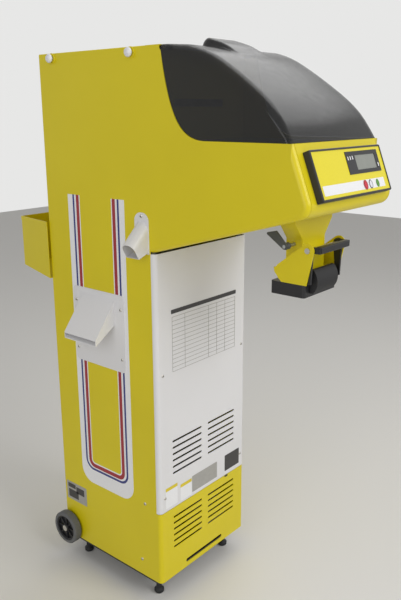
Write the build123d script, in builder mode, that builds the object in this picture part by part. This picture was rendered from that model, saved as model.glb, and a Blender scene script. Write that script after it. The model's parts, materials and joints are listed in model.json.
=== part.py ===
from build123d import *
from math import cos, pi, radians, sin, tan
import os

# Upright rice grader: a sheet-metal column with an auger and a slotted screen inside,
# a head that holds the weighing tank, a bag chute with its clamp under the head,
# and a receiving hopper at the back. Millimetres, +Z up, the front faces -Y.

# Column
column_width = 372.0
column_depth = 390.0
column_foot = 70.0
cap_depth = 25.0
sheet = 1.5
fold_radius = 4.0
collar_drop = 18.0
cover_stand = 14.0
cover_radius = 12.0
cover_split = 286.0
cover_gap = 1.5
louvre_height = 6.0
foot_slot_height = 11.0

# Head: its underside, the belt line over it and the seam of the top cover follow one another
underside_height = 1004.0
underside_slope = 16.0
belt_rise = 269.0
dome_rise = 182.0
belt_height = underside_height + belt_rise
lid_seam = belt_height + dome_rise
belt_reach = 393.0
panel_lean = 21.3
panel_length = 151.0
roll_radius = 30.0
side_roll = 12.0
head_wall = 2.0
panel_seam = 1.0

# Window line of the smoked lid, seen from the side
window_front = 174.0
window_pull = 100.0
window_swing = 68.0
window_swing_height = 52.0
window_top = 44.0
window_gap = 1.0

# Smoked lid
lid_wall = 3.0
lid_inset = 0.8
lid_fan_depth = 120.0
lid_core = 30.0
lid_crest_fall = 207.0
hinge_radius = 2.0
hinge_boss = 4.5
hinge_back = 48.5
hinge_drop = 5.5
running_gap = 0.05
free_gap = 0.3
ear_inset = 12.0
ear_width = 3.0
boss_inset = 22.0
boss_width = 10.0
scoop_half_width = 56.0
scoop_rise = 22.0
scoop_back = 12.0
scoop_crest = 30.0
scoop_length = 110.0

# Display case
case_half_width = 153.5
case_start = 18.0
case_end = 127.0
case_depth = 16.0
case_wall = 4.5
case_chamfer = 1.5
face_recess = 1.5
window_left = -16.0
window_right = 130.0
window_high = 29.0
window_low = 79.5
glass_left = 23.0
glass_right = 115.0
glass_high = 38.0
glass_low = 71.0
button_row = 106.0
button_width = 11.0
button_height = 16.0
button_flange = 1.5
button_travel = 0.6
button_places = {"stop_button": 39.0, "set_button": 63.0, "start_button": 96.0}

# Chute, gate and bag clamp
chute_front = 343.0
chute_back = 300.0
chute_top_width = 159.0
chute_width = 98.0
chute_neck = underside_height + 54
chute_end = underside_height - 34
gate_height = underside_height + 42
gate_shaft_radius = 4.0
gate_lever_x = -86.0
lever_lift = 30.0
lever_set_back = 23.5
lever_end = (21.0, -5.0)
lever_sheet = 4.0
block_width = 140.0
block_front = 365.0
block_back = 274.0
block_bottom = underside_height - 75
block_top = underside_height - 45
block_wall = 15.0
yoke_pivot_y = -370.0
yoke_pivot_z = underside_height + 35
yoke_sheet = 2.5
yoke_rear = -280.0
yoke_bridge_height = 41.0
pivot_radius = 4.0

# Outlets on the left side
plate_thickness = 1.5
small_plate_y = 198.5
small_plate_z = 773.5
small_plate_width = 197.0
small_plate_height = 213.0
small_screw_span_y = 173.5
small_screw_span_z = 137.0
spout_width = 124.0
spout_reach = 69.5
spout_top = 859.0
spout_bottom = 795.0
spout_tip_top = 769.0
spout_tip_bottom = 752.0
over_plate_front = 3.0
over_plate_back = 51.0
over_plate_low = underside_height - 3
over_plate_high = underside_height + 98
over_reach = 54.0
over_tip_z = underside_height + 26
over_lip = 34.0
over_lip_z = underside_height - 10
over_top = underside_height + 76
over_bottom = underside_height + 2
over_duct = 38.0
over_lip_low = belt_height - 1
over_lip_high = belt_height + 23

# Receiving hopper
hopper_front_half = 193.0
hopper_back_half = 166.0
hopper_depth = 153.0
hopper_rim = 1044.0
hopper_floor = 899.0
hopper_floor_front = 884.0
hopper_rim_fold = 12.0
inlet_half = 60.0
inlet_low = 888.0
inlet_high = 1010.0

# Grading works inside the column
auger_y = 198.0
auger_shaft_radius = 14.0
auger_radius = 57.0
flight_pitch = 110.0
flight_thickness = 4.0
flight_sides = 12
tube_inner = 60.0
tube_wall = 2.0
screen_bottom = 860.0
screen_top = lid_seam - 117
slot_count = 10
slot_rows = 5
slot_width = 5.0
housing_half = 85.0
housing_floor = 800.0
discharge_half = 93.5
discharge_low = lid_seam - 107
discharge_high = lid_seam - 89
bearing_plate = lid_seam - 77
pulley_low = 84.0
pulley_height = 20.0
auger_pulley_radius = 84.0
motor_pulley_radius = 28.0
motor_x = 98.0
motor_y = 92.0
motor_radius = 60.0
motor_low = 132.0
motor_height = 150.0
motor_shaft_radius = 9.0
belt_thickness = 6.0
shelf_width = 134.0
shelf_depth = 120.0
shelf_thickness = 3.0

# Wheels on both sides for tipping the machine back, and the feet that it stands on
wheel_radius = 50.5
wheel_width = 24.5
wheel_gap = 4.0
wheel_back = 23.0
wheel_height = 101.5
axle_radius = 6.0
axle_head = 3.0
axle_plate = 3.0
axle_plate_width = 44.0
axle_plate_height = 60.0
foot_radius = 14.0
foot_pad = 16.0
foot_stem = 8.0
foot_inset_x = 40.0
foot_inset_y = 36.0
pan_thickness = 3.0
pan_skirt = 20.0

# Knobs of the top cover
knob_radius = 11.0
knob_head = 10.0
knob_neck = 6.0
knob_stem = 3.0
knob_places = {"rear": 335.0, "front": 48.0}

# Sizes worked out from those above
half = column_width / 2
lean = radians(panel_lean)
slope = radians(underside_slope)
head_top = lid_seam + cap_depth
panel_foot_y = -belt_reach - panel_length * sin(lean)
panel_foot_z = belt_height - panel_length * cos(lean)
front_reach = belt_reach + (case_end - case_chamfer) * sin(lean) + case_depth * cos(lean)
rear_reach = column_depth + hopper_depth
left_reach = half + spout_reach
right_reach = half + wheel_gap + wheel_width + axle_head / 2
centre_x = (left_reach - right_reach) / 2
seam_y = (front_reach - rear_reach) / 2


def underside(y):
    """Height of the head's underside at a distance y from the column's front seam."""
    return underside_height - y * tan(slope)


def plan(z):
    return Plane(origin=(centre_x, seam_y, z))


def side(x):
    return Plane(origin=(centre_x + x, seam_y, 0), x_dir=(0, 1, 0), z_dir=(1, 0, 0))


def front(y):
    return Plane(origin=(centre_x, seam_y + y, 0), x_dir=(1, 0, 0), z_dir=(0, -1, 0))


def panel(lift):
    """Plane of the sloping front panel, moved out by lift, with its origin on the belt."""
    return Plane(
        origin=(
            centre_x,
            seam_y - belt_reach - lift * cos(lean),
            belt_height + lift * sin(lean),
        ),
        x_dir=(1, 0, 0),
        z_dir=(0, -cos(lean), sin(lean)),
    )


def fan(y, z):
    """Plane that stands on the belt line and leans to the crest point y, z of the lid."""
    rise = Vector(0, y + lid_fan_depth, z - belt_height)
    return Plane(
        origin=(centre_x, seam_y - lid_fan_depth, belt_height),
        x_dir=(1, 0, 0),
        z_dir=Vector(1, 0, 0).cross(rise.normalized()),
    )


os.makedirs("parts", exist_ok=True)


def keep(piece, label):
    piece.part.label = label
    export_step(piece.part, f"parts/{label}.step")


# Base pan: a floor plate inside the column's foot, with a skirt set back under it
pan_half = half - sheet
with BuildPart() as base_pan:
    with BuildSketch(plan(column_foot)):
        with Locations((0, column_depth / 2)):
            Rectangle(2 * pan_half, column_depth - 2 * sheet)
    extrude(amount=pan_thickness)
    with BuildSketch(plan(column_foot)):
        with Locations((0, column_depth / 2)):
            Rectangle(2 * (half - 14), column_depth - 28)
            Rectangle(2 * (half - 17), column_depth - 34, mode=Mode.SUBTRACT)
    extrude(amount=-pan_skirt)
    with Locations(plan(column_foot + pan_thickness)):
        with Locations((0, auger_y)):
            Hole(radius=auger_shaft_radius + 2)
keep(base_pan, "base_pan")

# Column shell: left side, back and right side in one bent sheet, with a collar at the top
with BuildPart() as column_shell:
    with BuildSketch(plan(column_foot)) as shell_plan:
        with Locations((0, column_depth / 2)):
            Rectangle(column_width, column_depth)
        back_corners = shell_plan.vertices().group_by(Axis.Y)[-1]
        fillet(back_corners, radius=fold_radius)
        with Locations((0, column_depth / 2 - sheet)):
            Rectangle(column_width - 2 * sheet, column_depth, mode=Mode.SUBTRACT)
    extrude(amount=lid_seam - column_foot)
    with BuildSketch(plan(lid_seam - collar_drop)):
        with Locations((0, column_depth / 2)):
            Rectangle(column_width - 2 * sheet, column_depth - 2 * sheet)
            Rectangle(column_width - 4 * sheet, column_depth - 4 * sheet, mode=Mode.SUBTRACT)
    extrude(amount=collar_drop + cap_depth - sheet - 1)
    with BuildSketch(front(column_depth + 1)):
        with Locations((0, (inlet_low + inlet_high) / 2)):
            Rectangle(2 * inlet_half, inlet_high - inlet_low)
    extrude(amount=2 * sheet + 2, mode=Mode.SUBTRACT)
    with BuildSketch(side(-half - 1)):
        with Locations((small_plate_y, (spout_top + spout_bottom) / 2)):
            Rectangle(spout_width - 4, spout_top - spout_bottom - 4)
        with Locations(((over_plate_front + over_plate_back) / 2, (over_top + over_bottom) / 2)):
            Rectangle(over_plate_back - over_plate_front - 14, over_top - over_bottom - 14)
    extrude(amount=2 * sheet + 2, mode=Mode.SUBTRACT)
    with BuildSketch(side(-half - 1)):
        for knob_y in knob_places.values():
            with Locations((knob_y, lid_seam + cap_depth / 2)):
                Circle(knob_stem + running_gap)
        with Locations((column_depth - wheel_back, wheel_height)):
            Circle(axle_radius + free_gap)
    extrude(amount=column_width + 2, mode=Mode.SUBTRACT)
keep(column_shell, "column_shell")

# Front posts: two angle bars behind the covers, from the pan to the head
with BuildPart() as front_posts:
    for sign in (-1, 1):
        with BuildSketch(plan(column_foot + pan_thickness)):
            with Locations((sign * (half - sheet - 10), 1 + 8)):
                Rectangle(20, 16)
            with Locations((sign * (half - sheet - 12), 1 + 10)):
                Rectangle(20, 16, mode=Mode.SUBTRACT)
    extrude(amount=underside_height - column_foot - pan_thickness)
keep(front_posts, "front_posts")

# Top cover: a folded lid over the column, with a hole for each knob
with BuildPart() as top_cover:
    with BuildSketch(plan(lid_seam)) as cap_plan:
        with Locations((0, column_depth / 2)):
            Rectangle(column_width, column_depth)
        fillet(cap_plan.vertices().group_by(Axis.Y)[-1], radius=fold_radius)
    extrude(amount=cap_depth)
    top_edges = top_cover.edges().group_by(Axis.Z)[-1]
    fillet(top_edges, radius=2.5)
    with BuildSketch(plan(lid_seam)):
        with Locations((0, column_depth / 2)):
            Rectangle(column_width - 2 * sheet, column_depth - 2 * sheet)
    extrude(amount=cap_depth - sheet, mode=Mode.SUBTRACT)
    with BuildSketch(side(-half - 1)):
        for knob_y in knob_places.values():
            with Locations((knob_y, lid_seam + cap_depth / 2)):
                Circle(knob_stem + running_gap)
    extrude(amount=column_width + 2, mode=Mode.SUBTRACT)
keep(top_cover, "top_cover")


def cover_outline(inset):
    """Plan of a front cover, inset from its outer face: a bent sheet with round corners."""
    with BuildSketch() as outline:
        with Locations((0, -cover_stand / 2 + inset)):
            Rectangle(column_width - 2 * inset, cover_stand)
        fillet(outline.vertices().group_by(Axis.Y)[0], radius=cover_radius - inset)
    return outline.sketch


def louvre_columns(first, last, count, height):
    """Two columns of round-ended slots, on the plane of the covers."""
    pitch = (first - last) / (count - 1)
    for column_centre in (-73.0, 75.0):
        for row in range(count):
            with Locations((column_centre, first - row * pitch)):
                SlotOverall(121, height)


# Front covers: the white one over the screen and drive, the yellow one over the belt
with BuildPart() as front_cover:
    with BuildSketch(plan(cover_split + cover_gap)):
        add(cover_outline(0))
        add(cover_outline(sheet), mode=Mode.SUBTRACT)
    extrude(amount=underside_height - cover_split - 2 * cover_gap)
    with BuildSketch(front(-cover_stand - 1)):
        louvre_columns(485.5, 391.5, 6, louvre_height)
    extrude(amount=-(sheet + 2), mode=Mode.SUBTRACT)
keep(front_cover, "front_cover")

with BuildPart() as lower_cover:
    with BuildSketch(plan(column_foot)):
        add(cover_outline(0))
        add(cover_outline(sheet), mode=Mode.SUBTRACT)
    extrude(amount=cover_split - column_foot)
    with BuildSketch(front(-cover_stand - 1)):
        louvre_columns(256.5, 163.0, 6, louvre_height)
        with Locations((-2, 90)):
            SlotOverall(162, foot_slot_height)
    extrude(amount=-(sheet + 2), mode=Mode.SUBTRACT)
keep(lower_cover, "lower_cover")


def window_region(gap):
    """Side outline of everything above the lid's lower edge, let down by gap."""
    with BuildSketch(side(-half - 50)) as region:
        with BuildLine():
            low_front = (-belt_reach - 200, belt_height + 2 - gap)
            low_back = (-window_front, belt_height + 2 - gap)
            high = (-window_top + gap, head_top)
            Line(low_front, low_back)
            Bezier(
                low_back,
                (-window_pull + gap, belt_height + 2 - gap),
                (-window_swing + gap, belt_height + window_swing_height - gap),
                high,
            )
            Polyline(high, (high[0], head_top + 80), (low_front[0], head_top + 80), low_front)
        make_face()
    with BuildPart() as block:
        add(extrude(region.sketch, amount=column_width + 100, mode=Mode.PRIVATE))
    return block.part


def head_block(inset):
    """Solid of the head up to the top of the column, set in from its outer face."""
    foot = underside_height + inset / cos(slope)
    drop = tan(slope)
    forward = belt_reach - inset / cos(lean)
    # where the front panel meets the underside
    reach = (belt_height - foot + forward / tan(lean)) / (drop + 1 / tan(lean))
    with BuildPart() as block:
        with BuildSketch(side(-half + inset)) as outline:
            with BuildLine():
                Polyline(
                    (0, foot),
                    (-reach, foot + reach * drop),
                    (-forward, belt_height),
                    (-forward, head_top - inset),
                    (0, head_top - inset),
                    close=True,
                )
            make_face()
            corner = outline.vertices().sort_by(Axis.X)[0]
            fillet(corner, radius=roll_radius - inset)
        extrude(amount=column_width - 2 * inset)
        rolled = (
            block.edges()
            .filter_by(lambda e: abs(abs(e.center().X - centre_x) - half + inset) < 0.01)
            .filter_by(lambda e: e.center().Z < belt_height + 1)
            .filter_by(lambda e: e.center().Y < seam_y - 5)
        )
        fillet(rolled, radius=side_roll - inset)
    return block.part


head_skin = head_block(0) - head_block(head_wall)


def panel_region(gap):
    """The part of the head that the front panel takes, less a gap along its edges."""
    with BuildPart() as block:
        with BuildSketch(side(-half + side_roll + gap)):
            Polygon(
                (-belt_reach - 150, belt_height + 30),
                (-belt_reach + roll_radius - 8 - gap, belt_height + 30),
                (panel_foot_y + roll_radius + 16 - gap, panel_foot_z - 20),
                (-belt_reach - 150, panel_foot_z - 20),
                align=None,
            )
        extrude(amount=column_width - 2 * (side_roll + gap))
    return block.part


# Room for the lid's back edge as it swings on its hinge
hinge_y = -hinge_back
hinge_z = head_top - hinge_drop
hinge_sweep = hinge_drop + window_gap
chute_depth = chute_front - chute_back
chute_middle = -(chute_front + chute_back) / 2
with BuildPart() as head_shell:
    add(head_skin)
    add(window_region(window_gap), mode=Mode.SUBTRACT)
    add(panel_region(0), mode=Mode.SUBTRACT)
    with BuildSketch(side(-half - 1)):
        with Locations((hinge_y, hinge_z)):
            Circle(hinge_sweep + 1)
    extrude(amount=column_width + 2, mode=Mode.SUBTRACT)
    with BuildSketch(plan(underside_height)):
        with Locations((0, chute_middle)):
            Rectangle(chute_top_width + 1, chute_depth + 1)
    extrude(amount=(belt_height - underside_height) / 2, mode=Mode.SUBTRACT)
keep(head_shell, "head_shell")

with BuildPart() as front_panel:
    add(head_skin)
    add(panel_region(panel_seam), mode=Mode.INTERSECT)
    add(window_region(window_gap), mode=Mode.SUBTRACT)
keep(front_panel, "front_panel")


def lid_dome(inset):
    """Solid under the lid's skin: sections that fan round the belt line, rounder in the middle."""
    crest = [
        (20, 0, 7),
        (-window_top - 2, 0, 7),
        (-84, 1.3, 18),
        (-122, 5, 26),
        (-170, 21.5, 29),
        (-217, 47, 30),
        (-270, 81, 28),
        (-322, 119, 24),
        (-356, 152, 19),
        (-379, 184, 15),
        (-belt_reach, lid_crest_fall, 12),
    ]
    steep = (head_top - belt_height) / lid_crest_fall
    half_width = half - lid_inset - inset
    with BuildPart() as dome:
        for y, fall, corner in crest:
            z = head_top - fall * steep
            reach = ((y + lid_fan_depth) ** 2 + (z - belt_height) ** 2) ** 0.5 - inset
            with BuildSketch(fan(y, z)) as section:
                with Locations((0, (reach + lid_core) / 2)):
                    Rectangle(2 * half_width, reach - lid_core)
                top_corners = section.vertices().group_by(Axis.Y)[-1]
                fillet(top_corners, radius=max(corner - inset, 3))
        loft(ruled=True)
        # the sections stop short of the line that they fan round, and a core fills the middle
        with BuildSketch(side(-half_width)):
            with Locations((-lid_fan_depth, belt_height)):
                Circle(2 * lid_core)
        extrude(amount=2 * half_width)
    return dome.part


with BuildPart() as smoke_lid:
    add(lid_dome(0))
    add(window_region(0), mode=Mode.INTERSECT)
    with BuildSketch(side(-scoop_half_width)):
        with BuildLine():
            heel = (-window_top - scoop_back, head_top - 4)
            shoulder = (-window_top - scoop_back - 7, head_top + scoop_rise * 0.72)
            peak = (-window_top - scoop_crest, head_top + scoop_rise)
            toe = (-window_top - scoop_length, head_top - 12)
            ThreePointArc(heel, shoulder, peak)
            Polyline(peak, toe, (toe[0], head_top - 20), (heel[0], head_top - 20), heel)
        make_face()
    extrude(amount=2 * scoop_half_width)
    add(lid_dome(lid_wall), mode=Mode.SUBTRACT)
    # the lid ends at its back edge, and its foot and back stay open
    with BuildSketch(side(-half - 1)):
        with Locations((-window_top + 60 - 2, head_top)):
            Rectangle(120, 120)
    extrude(amount=column_width + 2, mode=Mode.SUBTRACT)
    for sign in (-1, 1):
        boss_x = sign * (half - boss_inset - boss_width / 2)
        with BuildSketch(side(boss_x - boss_width / 2)):
            with Locations((hinge_y, hinge_z)):
                Circle(hinge_boss)
            with Locations((hinge_y, hinge_z + (hinge_drop - 1) / 2)):
                Rectangle(2 * hinge_boss - 3, hinge_drop - 1)
        extrude(amount=boss_width)
    with BuildSketch(side(-half - 1)):
        with Locations((hinge_y, hinge_z)):
            Circle(hinge_radius + running_gap)
    extrude(amount=column_width + 2, mode=Mode.SUBTRACT)
    # notches over the fixed ears of the hinge
    for sign in (-1, 1):
        ear_x = sign * (half - ear_inset)
        with Locations(plan(hinge_z)):
            with Locations((ear_x, hinge_y + 3, 5)):
                Box(ear_width + 3, 24, 26, mode=Mode.SUBTRACT)
keep(smoke_lid, "smoke_lid")

# Hinge of the lid: a rod through the lid's bosses, held by two ears under the head's top strip
strip_front = window_top - window_gap - 4
with BuildPart() as hinge_ears:
    for sign in (-1, 1):
        ear_x = sign * (half - ear_inset)
        with BuildSketch(side(ear_x - ear_width / 2)):
            with Locations((hinge_y, hinge_z)):
                Circle(hinge_boss)
            Polygon(
                (hinge_y, hinge_z - hinge_boss),
                (-12, hinge_z - hinge_boss),
                (-12, head_top - head_wall),
                (-strip_front + 6, head_top - head_wall),
                (hinge_y, hinge_z + 1),
                align=None,
            )
            with Locations((hinge_y, hinge_z)):
                Circle(hinge_radius, mode=Mode.SUBTRACT)
        extrude(amount=ear_width)
keep(hinge_ears, "hinge_ears")

with BuildPart() as hinge_rod:
    with BuildSketch(side(-half + ear_inset - ear_width)):
        with Locations((hinge_y, hinge_z)):
            Circle(hinge_radius)
    extrude(amount=column_width - 2 * (ear_inset - ear_width))
keep(hinge_rod, "hinge_rod")

# Front wall of the column inside the head, with the slot that the grain leaves by
with BuildPart() as inner_wall:
    with BuildSketch(front(0)):
        wall_low = underside_height + side_roll + head_wall
        wall_high = head_top - head_wall
        with Locations((0, (wall_low + wall_high) / 2)):
            Rectangle(column_width - 2 * head_wall, wall_high - wall_low)
        with Locations((0, (discharge_low + discharge_high) / 2)):
            Rectangle(2 * discharge_half, discharge_high - discharge_low, mode=Mode.SUBTRACT)
        with Locations((-half + over_duct / 2, (over_lip_low + over_lip_high) / 2)):
            Rectangle(over_duct - 12, over_lip_high - over_lip_low, mode=Mode.SUBTRACT)
    extrude(amount=sheet)
keep(inner_wall, "inner_wall")

# Display case on the sloping panel, open in front, with a ledge that the face rests on
case_middle = -(case_start + case_end) / 2
case_height = case_end - case_start
face_thickness = 2.0
face_seat = case_depth - face_recess - face_thickness
with BuildPart() as display_case:
    with BuildSketch(panel(0)):
        with Locations((0, case_middle)):
            RectangleRounded(2 * case_half_width, case_height, 4)
    extrude(amount=case_depth)
    with BuildSketch(panel(face_seat)):
        with Locations((0, case_middle)):
            Rectangle(2 * (case_half_width - case_wall), case_height - 2 * case_wall)
    extrude(amount=case_depth, mode=Mode.SUBTRACT)
    with BuildSketch(panel(sheet)):
        with Locations((0, case_middle)):
            Rectangle(2 * (case_half_width - 2 * case_wall), case_height - 4 * case_wall)
    extrude(amount=case_depth, mode=Mode.SUBTRACT)
    rim_face = display_case.faces().sort_by(Axis((0, 0, 0), panel(0).z_dir))[-1]
    chamfer(rim_face.outer_wire().edges(), case_chamfer)
keep(display_case, "display_case")

board_lift = 4.0
board_thickness = 1.6
with BuildPart() as control_board:
    with BuildSketch(panel(board_lift)):
        with Locations((0, case_middle)):
            Rectangle(2 * case_half_width - 40, case_height - 34)
    extrude(amount=board_thickness)
    with BuildSketch(panel(sheet)):
        with Locations((0, case_middle)):
            with GridLocations(2 * case_half_width - 52, case_height - 46, 2, 2):
                Circle(3)
    extrude(amount=board_lift - sheet)
keep(control_board, "control_board")

# Yellow face with its window frame, and a hole for each button
frame_width = window_right - window_left
frame_height = window_low - window_high
frame_x = (window_left + window_right) / 2
frame_v = -(window_high + window_low) / 2
frame_lip = 3.0
with BuildPart() as display_face:
    with BuildSketch(panel(face_seat)):
        with Locations((0, case_middle)):
            Rectangle(2 * (case_half_width - case_wall), case_height - 2 * case_wall)
        with Locations((frame_x, frame_v)):
            Rectangle(frame_width - 2 * frame_lip, frame_height - 2 * frame_lip, mode=Mode.SUBTRACT)
        for place in button_places.values():
            with Locations((place, -button_row)):
                Ellipse(
                    button_width / 2 + free_gap, button_height / 2 + free_gap, mode=Mode.SUBTRACT
                )
    extrude(amount=face_thickness)
keep(display_face, "display_face")

with BuildPart() as window_frame:
    with BuildSketch(panel(face_seat + face_thickness)):
        with Locations((frame_x, frame_v)):
            Rectangle(frame_width, frame_height)
    extrude(amount=1.2)
    with BuildSketch(panel(face_seat)):
        with Locations((frame_x, frame_v)):
            Rectangle(frame_width - 2 * frame_lip, frame_height - 2 * frame_lip)
    extrude(amount=face_thickness)
    glass_width = glass_right - glass_left
    glass_height = glass_low - glass_high
    with BuildSketch(panel(face_seat)):
        with Locations(((glass_left + glass_right) / 2, -(glass_high + glass_low) / 2)):
            Rectangle(glass_width, glass_height)
    extrude(amount=case_depth, mode=Mode.SUBTRACT)
keep(window_frame, "window_frame")

with BuildPart() as window_glass:
    with BuildSketch(panel(face_seat)):
        with Locations(((glass_left + glass_right) / 2, -(glass_high + glass_low) / 2)):
            Rectangle(glass_width, glass_height)
    extrude(amount=face_thickness)
keep(window_glass, "window_glass")

# Buttons: an oval cap through the face, with a flange behind it that keeps it in
for label, place in button_places.items():
    with BuildPart() as button:
        with BuildSketch(panel(face_seat - free_gap)):
            with Locations((place, -button_row)):
                Ellipse(button_width / 2, button_height / 2)
        extrude(amount=face_thickness + free_gap + button_travel + 0.4)
        with BuildSketch(panel(face_seat - free_gap)):
            with Locations((place, -button_row)):
                Ellipse(button_width / 2 + button_flange, button_height / 2 + button_flange)
        extrude(amount=-button_flange)
        with BuildSketch(panel(face_seat - free_gap - button_flange)):
            with Locations((place, -button_row)):
                Circle(2)
        stem = face_seat - free_gap - button_flange - board_lift - board_thickness - button_travel - free_gap
        extrude(amount=-stem)
    keep(button, label)

# Weighing tank: a funnel that narrows from the belt line to the chute
tank_top = belt_height - 5
tank_foot = underside(-chute_front) + 10
tank_front = -belt_reach + 24
tank_half = half - 14
with BuildPart() as grain_tank:
    for inset, mode in ((0, Mode.ADD), (sheet, Mode.SUBTRACT)):
        with BuildSketch(plan(tank_top + inset)):
            with Locations((0, (tank_front - 12) / 2)):
                Rectangle(2 * (tank_half - inset), -tank_front - 12 - 2 * inset)
        with BuildSketch(plan(tank_foot - inset)):
            with Locations((0, chute_middle)):
                Rectangle(chute_top_width - 2 * inset, chute_depth - 2 * inset)
        loft(ruled=True, mode=mode)
    with BuildSketch(plan(tank_top)):
        with Locations((0, (tank_front - 12) / 2)):
            Rectangle(2 * tank_half + 16, -tank_front - 12)
            Rectangle(2 * (tank_half - sheet), -tank_front - 12 - 2 * sheet, mode=Mode.SUBTRACT)
    extrude(amount=-sheet)
keep(grain_tank, "grain_tank")

# Rim angles that carry the tank's flange inside the head, and the load cell under its back
with BuildPart() as tank_rails:
    for sign in (-1, 1):
        with BuildSketch(front(-16)):
            with Locations((sign * (half - head_wall - 6), tank_top - sheet - 6)):
                Rectangle(12, 12)
            with Locations((sign * (half - head_wall - 6 - 2), tank_top - sheet - 6 - 2)):
                Rectangle(12, 12, mode=Mode.SUBTRACT)
    extrude(amount=-tank_front - 40)
keep(tank_rails, "tank_rails")

with BuildPart() as load_cell:
    with BuildSketch(front(-sheet)):
        with Locations((0, underside_height + 70)):
            Rectangle(36, 30)
    extrude(amount=118)
    with BuildSketch(side(-30)):
        with Locations((-70, underside_height + 70)):
            SlotOverall(44, 18)
    extrude(amount=60, mode=Mode.SUBTRACT)
keep(load_cell, "load_cell")

# Chute: a wedge under the tank that narrows sideways to an upright duct
with BuildPart() as chute:
    for inset, mode in ((0, Mode.ADD), (sheet, Mode.SUBTRACT)):
        top_half = chute_top_width / 2 - inset
        neck_half = chute_width / 2 - inset
        taper_top = underside(-chute_front) - 7
        over = 0 if inset == 0 else 1
        with BuildSketch(front(-chute_back - inset)):
            Polygon(
                (-top_half, tank_foot + over),
                (-top_half, taper_top),
                (-neck_half, chute_neck),
                (-neck_half, chute_end - over),
                (neck_half, chute_end - over),
                (neck_half, chute_neck),
                (top_half, taper_top),
                (top_half, tank_foot + over),
                align=None,
            )
        extrude(amount=chute_depth - 2 * inset, mode=mode)
    with BuildSketch(side(-chute_width)):
        with Locations((chute_middle, gate_height)):
            Circle(gate_shaft_radius + running_gap)
    extrude(amount=2 * chute_width, mode=Mode.SUBTRACT)
    # turned-out lip at the duct's front foot
    with BuildSketch(side(-chute_width / 2)):
        Polygon(
            (-chute_front, chute_end),
            (-chute_front - 5, chute_end - 3),
            (-chute_front - 5, chute_end - 1),
            (-chute_front, chute_end + 4),
            align=None,
        )
    extrude(amount=chute_width)
keep(chute, "chute")

# Gate: a flap on a shaft across the duct, turned by the lever outside it
flap_half = chute_depth / 2 - sheet - 1.5
with BuildPart() as gate_flap:
    with BuildSketch(side(gate_lever_x - 6)):
        with Locations((chute_middle, gate_height)):
            Circle(gate_shaft_radius)
    extrude(amount=-gate_lever_x + 6 + chute_width / 2 + 8)
    with BuildSketch(plan(gate_height - 1)):
        with Locations((0, chute_middle)):
            Rectangle(chute_width - 2 * sheet - 3, 2 * flap_half)
    extrude(amount=2)
keep(gate_flap, "gate_flap")

lever_top = (chute_middle + lever_set_back, gate_height + lever_lift)
with BuildPart() as gate_lever:
    with BuildSketch(side(gate_lever_x - lever_sheet)):
        with Locations((chute_middle, gate_height)):
            Circle(7)
        with Locations(lever_top):
            Circle(3)
            with Locations(lever_end):
                Circle(3)
        make_hull()
        with Locations((chute_middle, gate_height)):
            Circle(gate_shaft_radius, mode=Mode.SUBTRACT)
    extrude(amount=lever_sheet)
    with BuildSketch(side(gate_lever_x)):
        with Locations((chute_middle, gate_height)):
            Circle(8)
            Circle(gate_shaft_radius, mode=Mode.SUBTRACT)
    extrude(amount=12)
keep(gate_lever, "gate_lever")

# Bag clamp: two side plates and a bridge carry the black frame that the bag's mouth goes over
yoke_half = block_width / 2
pivot = (yoke_pivot_y, yoke_pivot_z)
with BuildPart() as clamp_yoke:
    for plate_x in (-yoke_half, yoke_half - yoke_sheet):
        with BuildSketch(side(plate_x)) as plate_outline:
            Polygon(
                (yoke_pivot_y - 15.9, yoke_pivot_z - 2),
                (-block_front - 4, block_top),
                (yoke_rear - 23, block_top),
                (yoke_rear, block_top + 25),
                (yoke_rear - 12, block_top + 40),
                (yoke_pivot_y + 9, yoke_pivot_z + 13.2),
                align=None,
            )
            with Locations(pivot):
                Circle(16)
            rear_corner = plate_outline.vertices().sort_by(Axis.X)[-1]
            fillet(rear_corner, radius=8)
            with Locations(pivot):
                Circle(pivot_radius, mode=Mode.SUBTRACT)
        extrude(amount=yoke_sheet)
    with BuildSketch(front(-chute_back + yoke_sheet)):
        with Locations((0, block_top + yoke_bridge_height / 2 + 3)):
            Rectangle(block_width, yoke_bridge_height - 6)
    extrude(amount=yoke_sheet)
    # hook for the bag's edge, inside the left plate
    with BuildSketch(side(-yoke_half + yoke_sheet)):
        with Locations((yoke_rear - 8, block_top + 19)):
            with Locations(Rotation(0, 0, 60)):
                SlotOverall(30, 4)
    extrude(amount=3)
keep(clamp_yoke, "clamp_yoke")

with BuildPart() as bag_frame:
    with BuildSketch(plan(block_bottom)):
        with Locations((0, -(block_front + block_back) / 2)):
            RectangleRounded(block_width, block_front - block_back, 6)
            Rectangle(
                block_width - 2 * block_wall,
                block_front - block_back - 2 * block_wall,
                mode=Mode.SUBTRACT,
            )
    extrude(amount=block_top - block_bottom)
keep(bag_frame, "bag_frame")

with BuildPart() as yoke_pin:
    with BuildSketch(side(-yoke_half - 3)):
        with Locations(pivot):
            Circle(pivot_radius)
    extrude(amount=block_width + 6)
    for head_x in (-yoke_half - 3, yoke_half):
        with BuildSketch(side(head_x)):
            with Locations(pivot):
                Circle(6.5)
        extrude(amount=3)
keep(yoke_pin, "yoke_pin")

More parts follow.
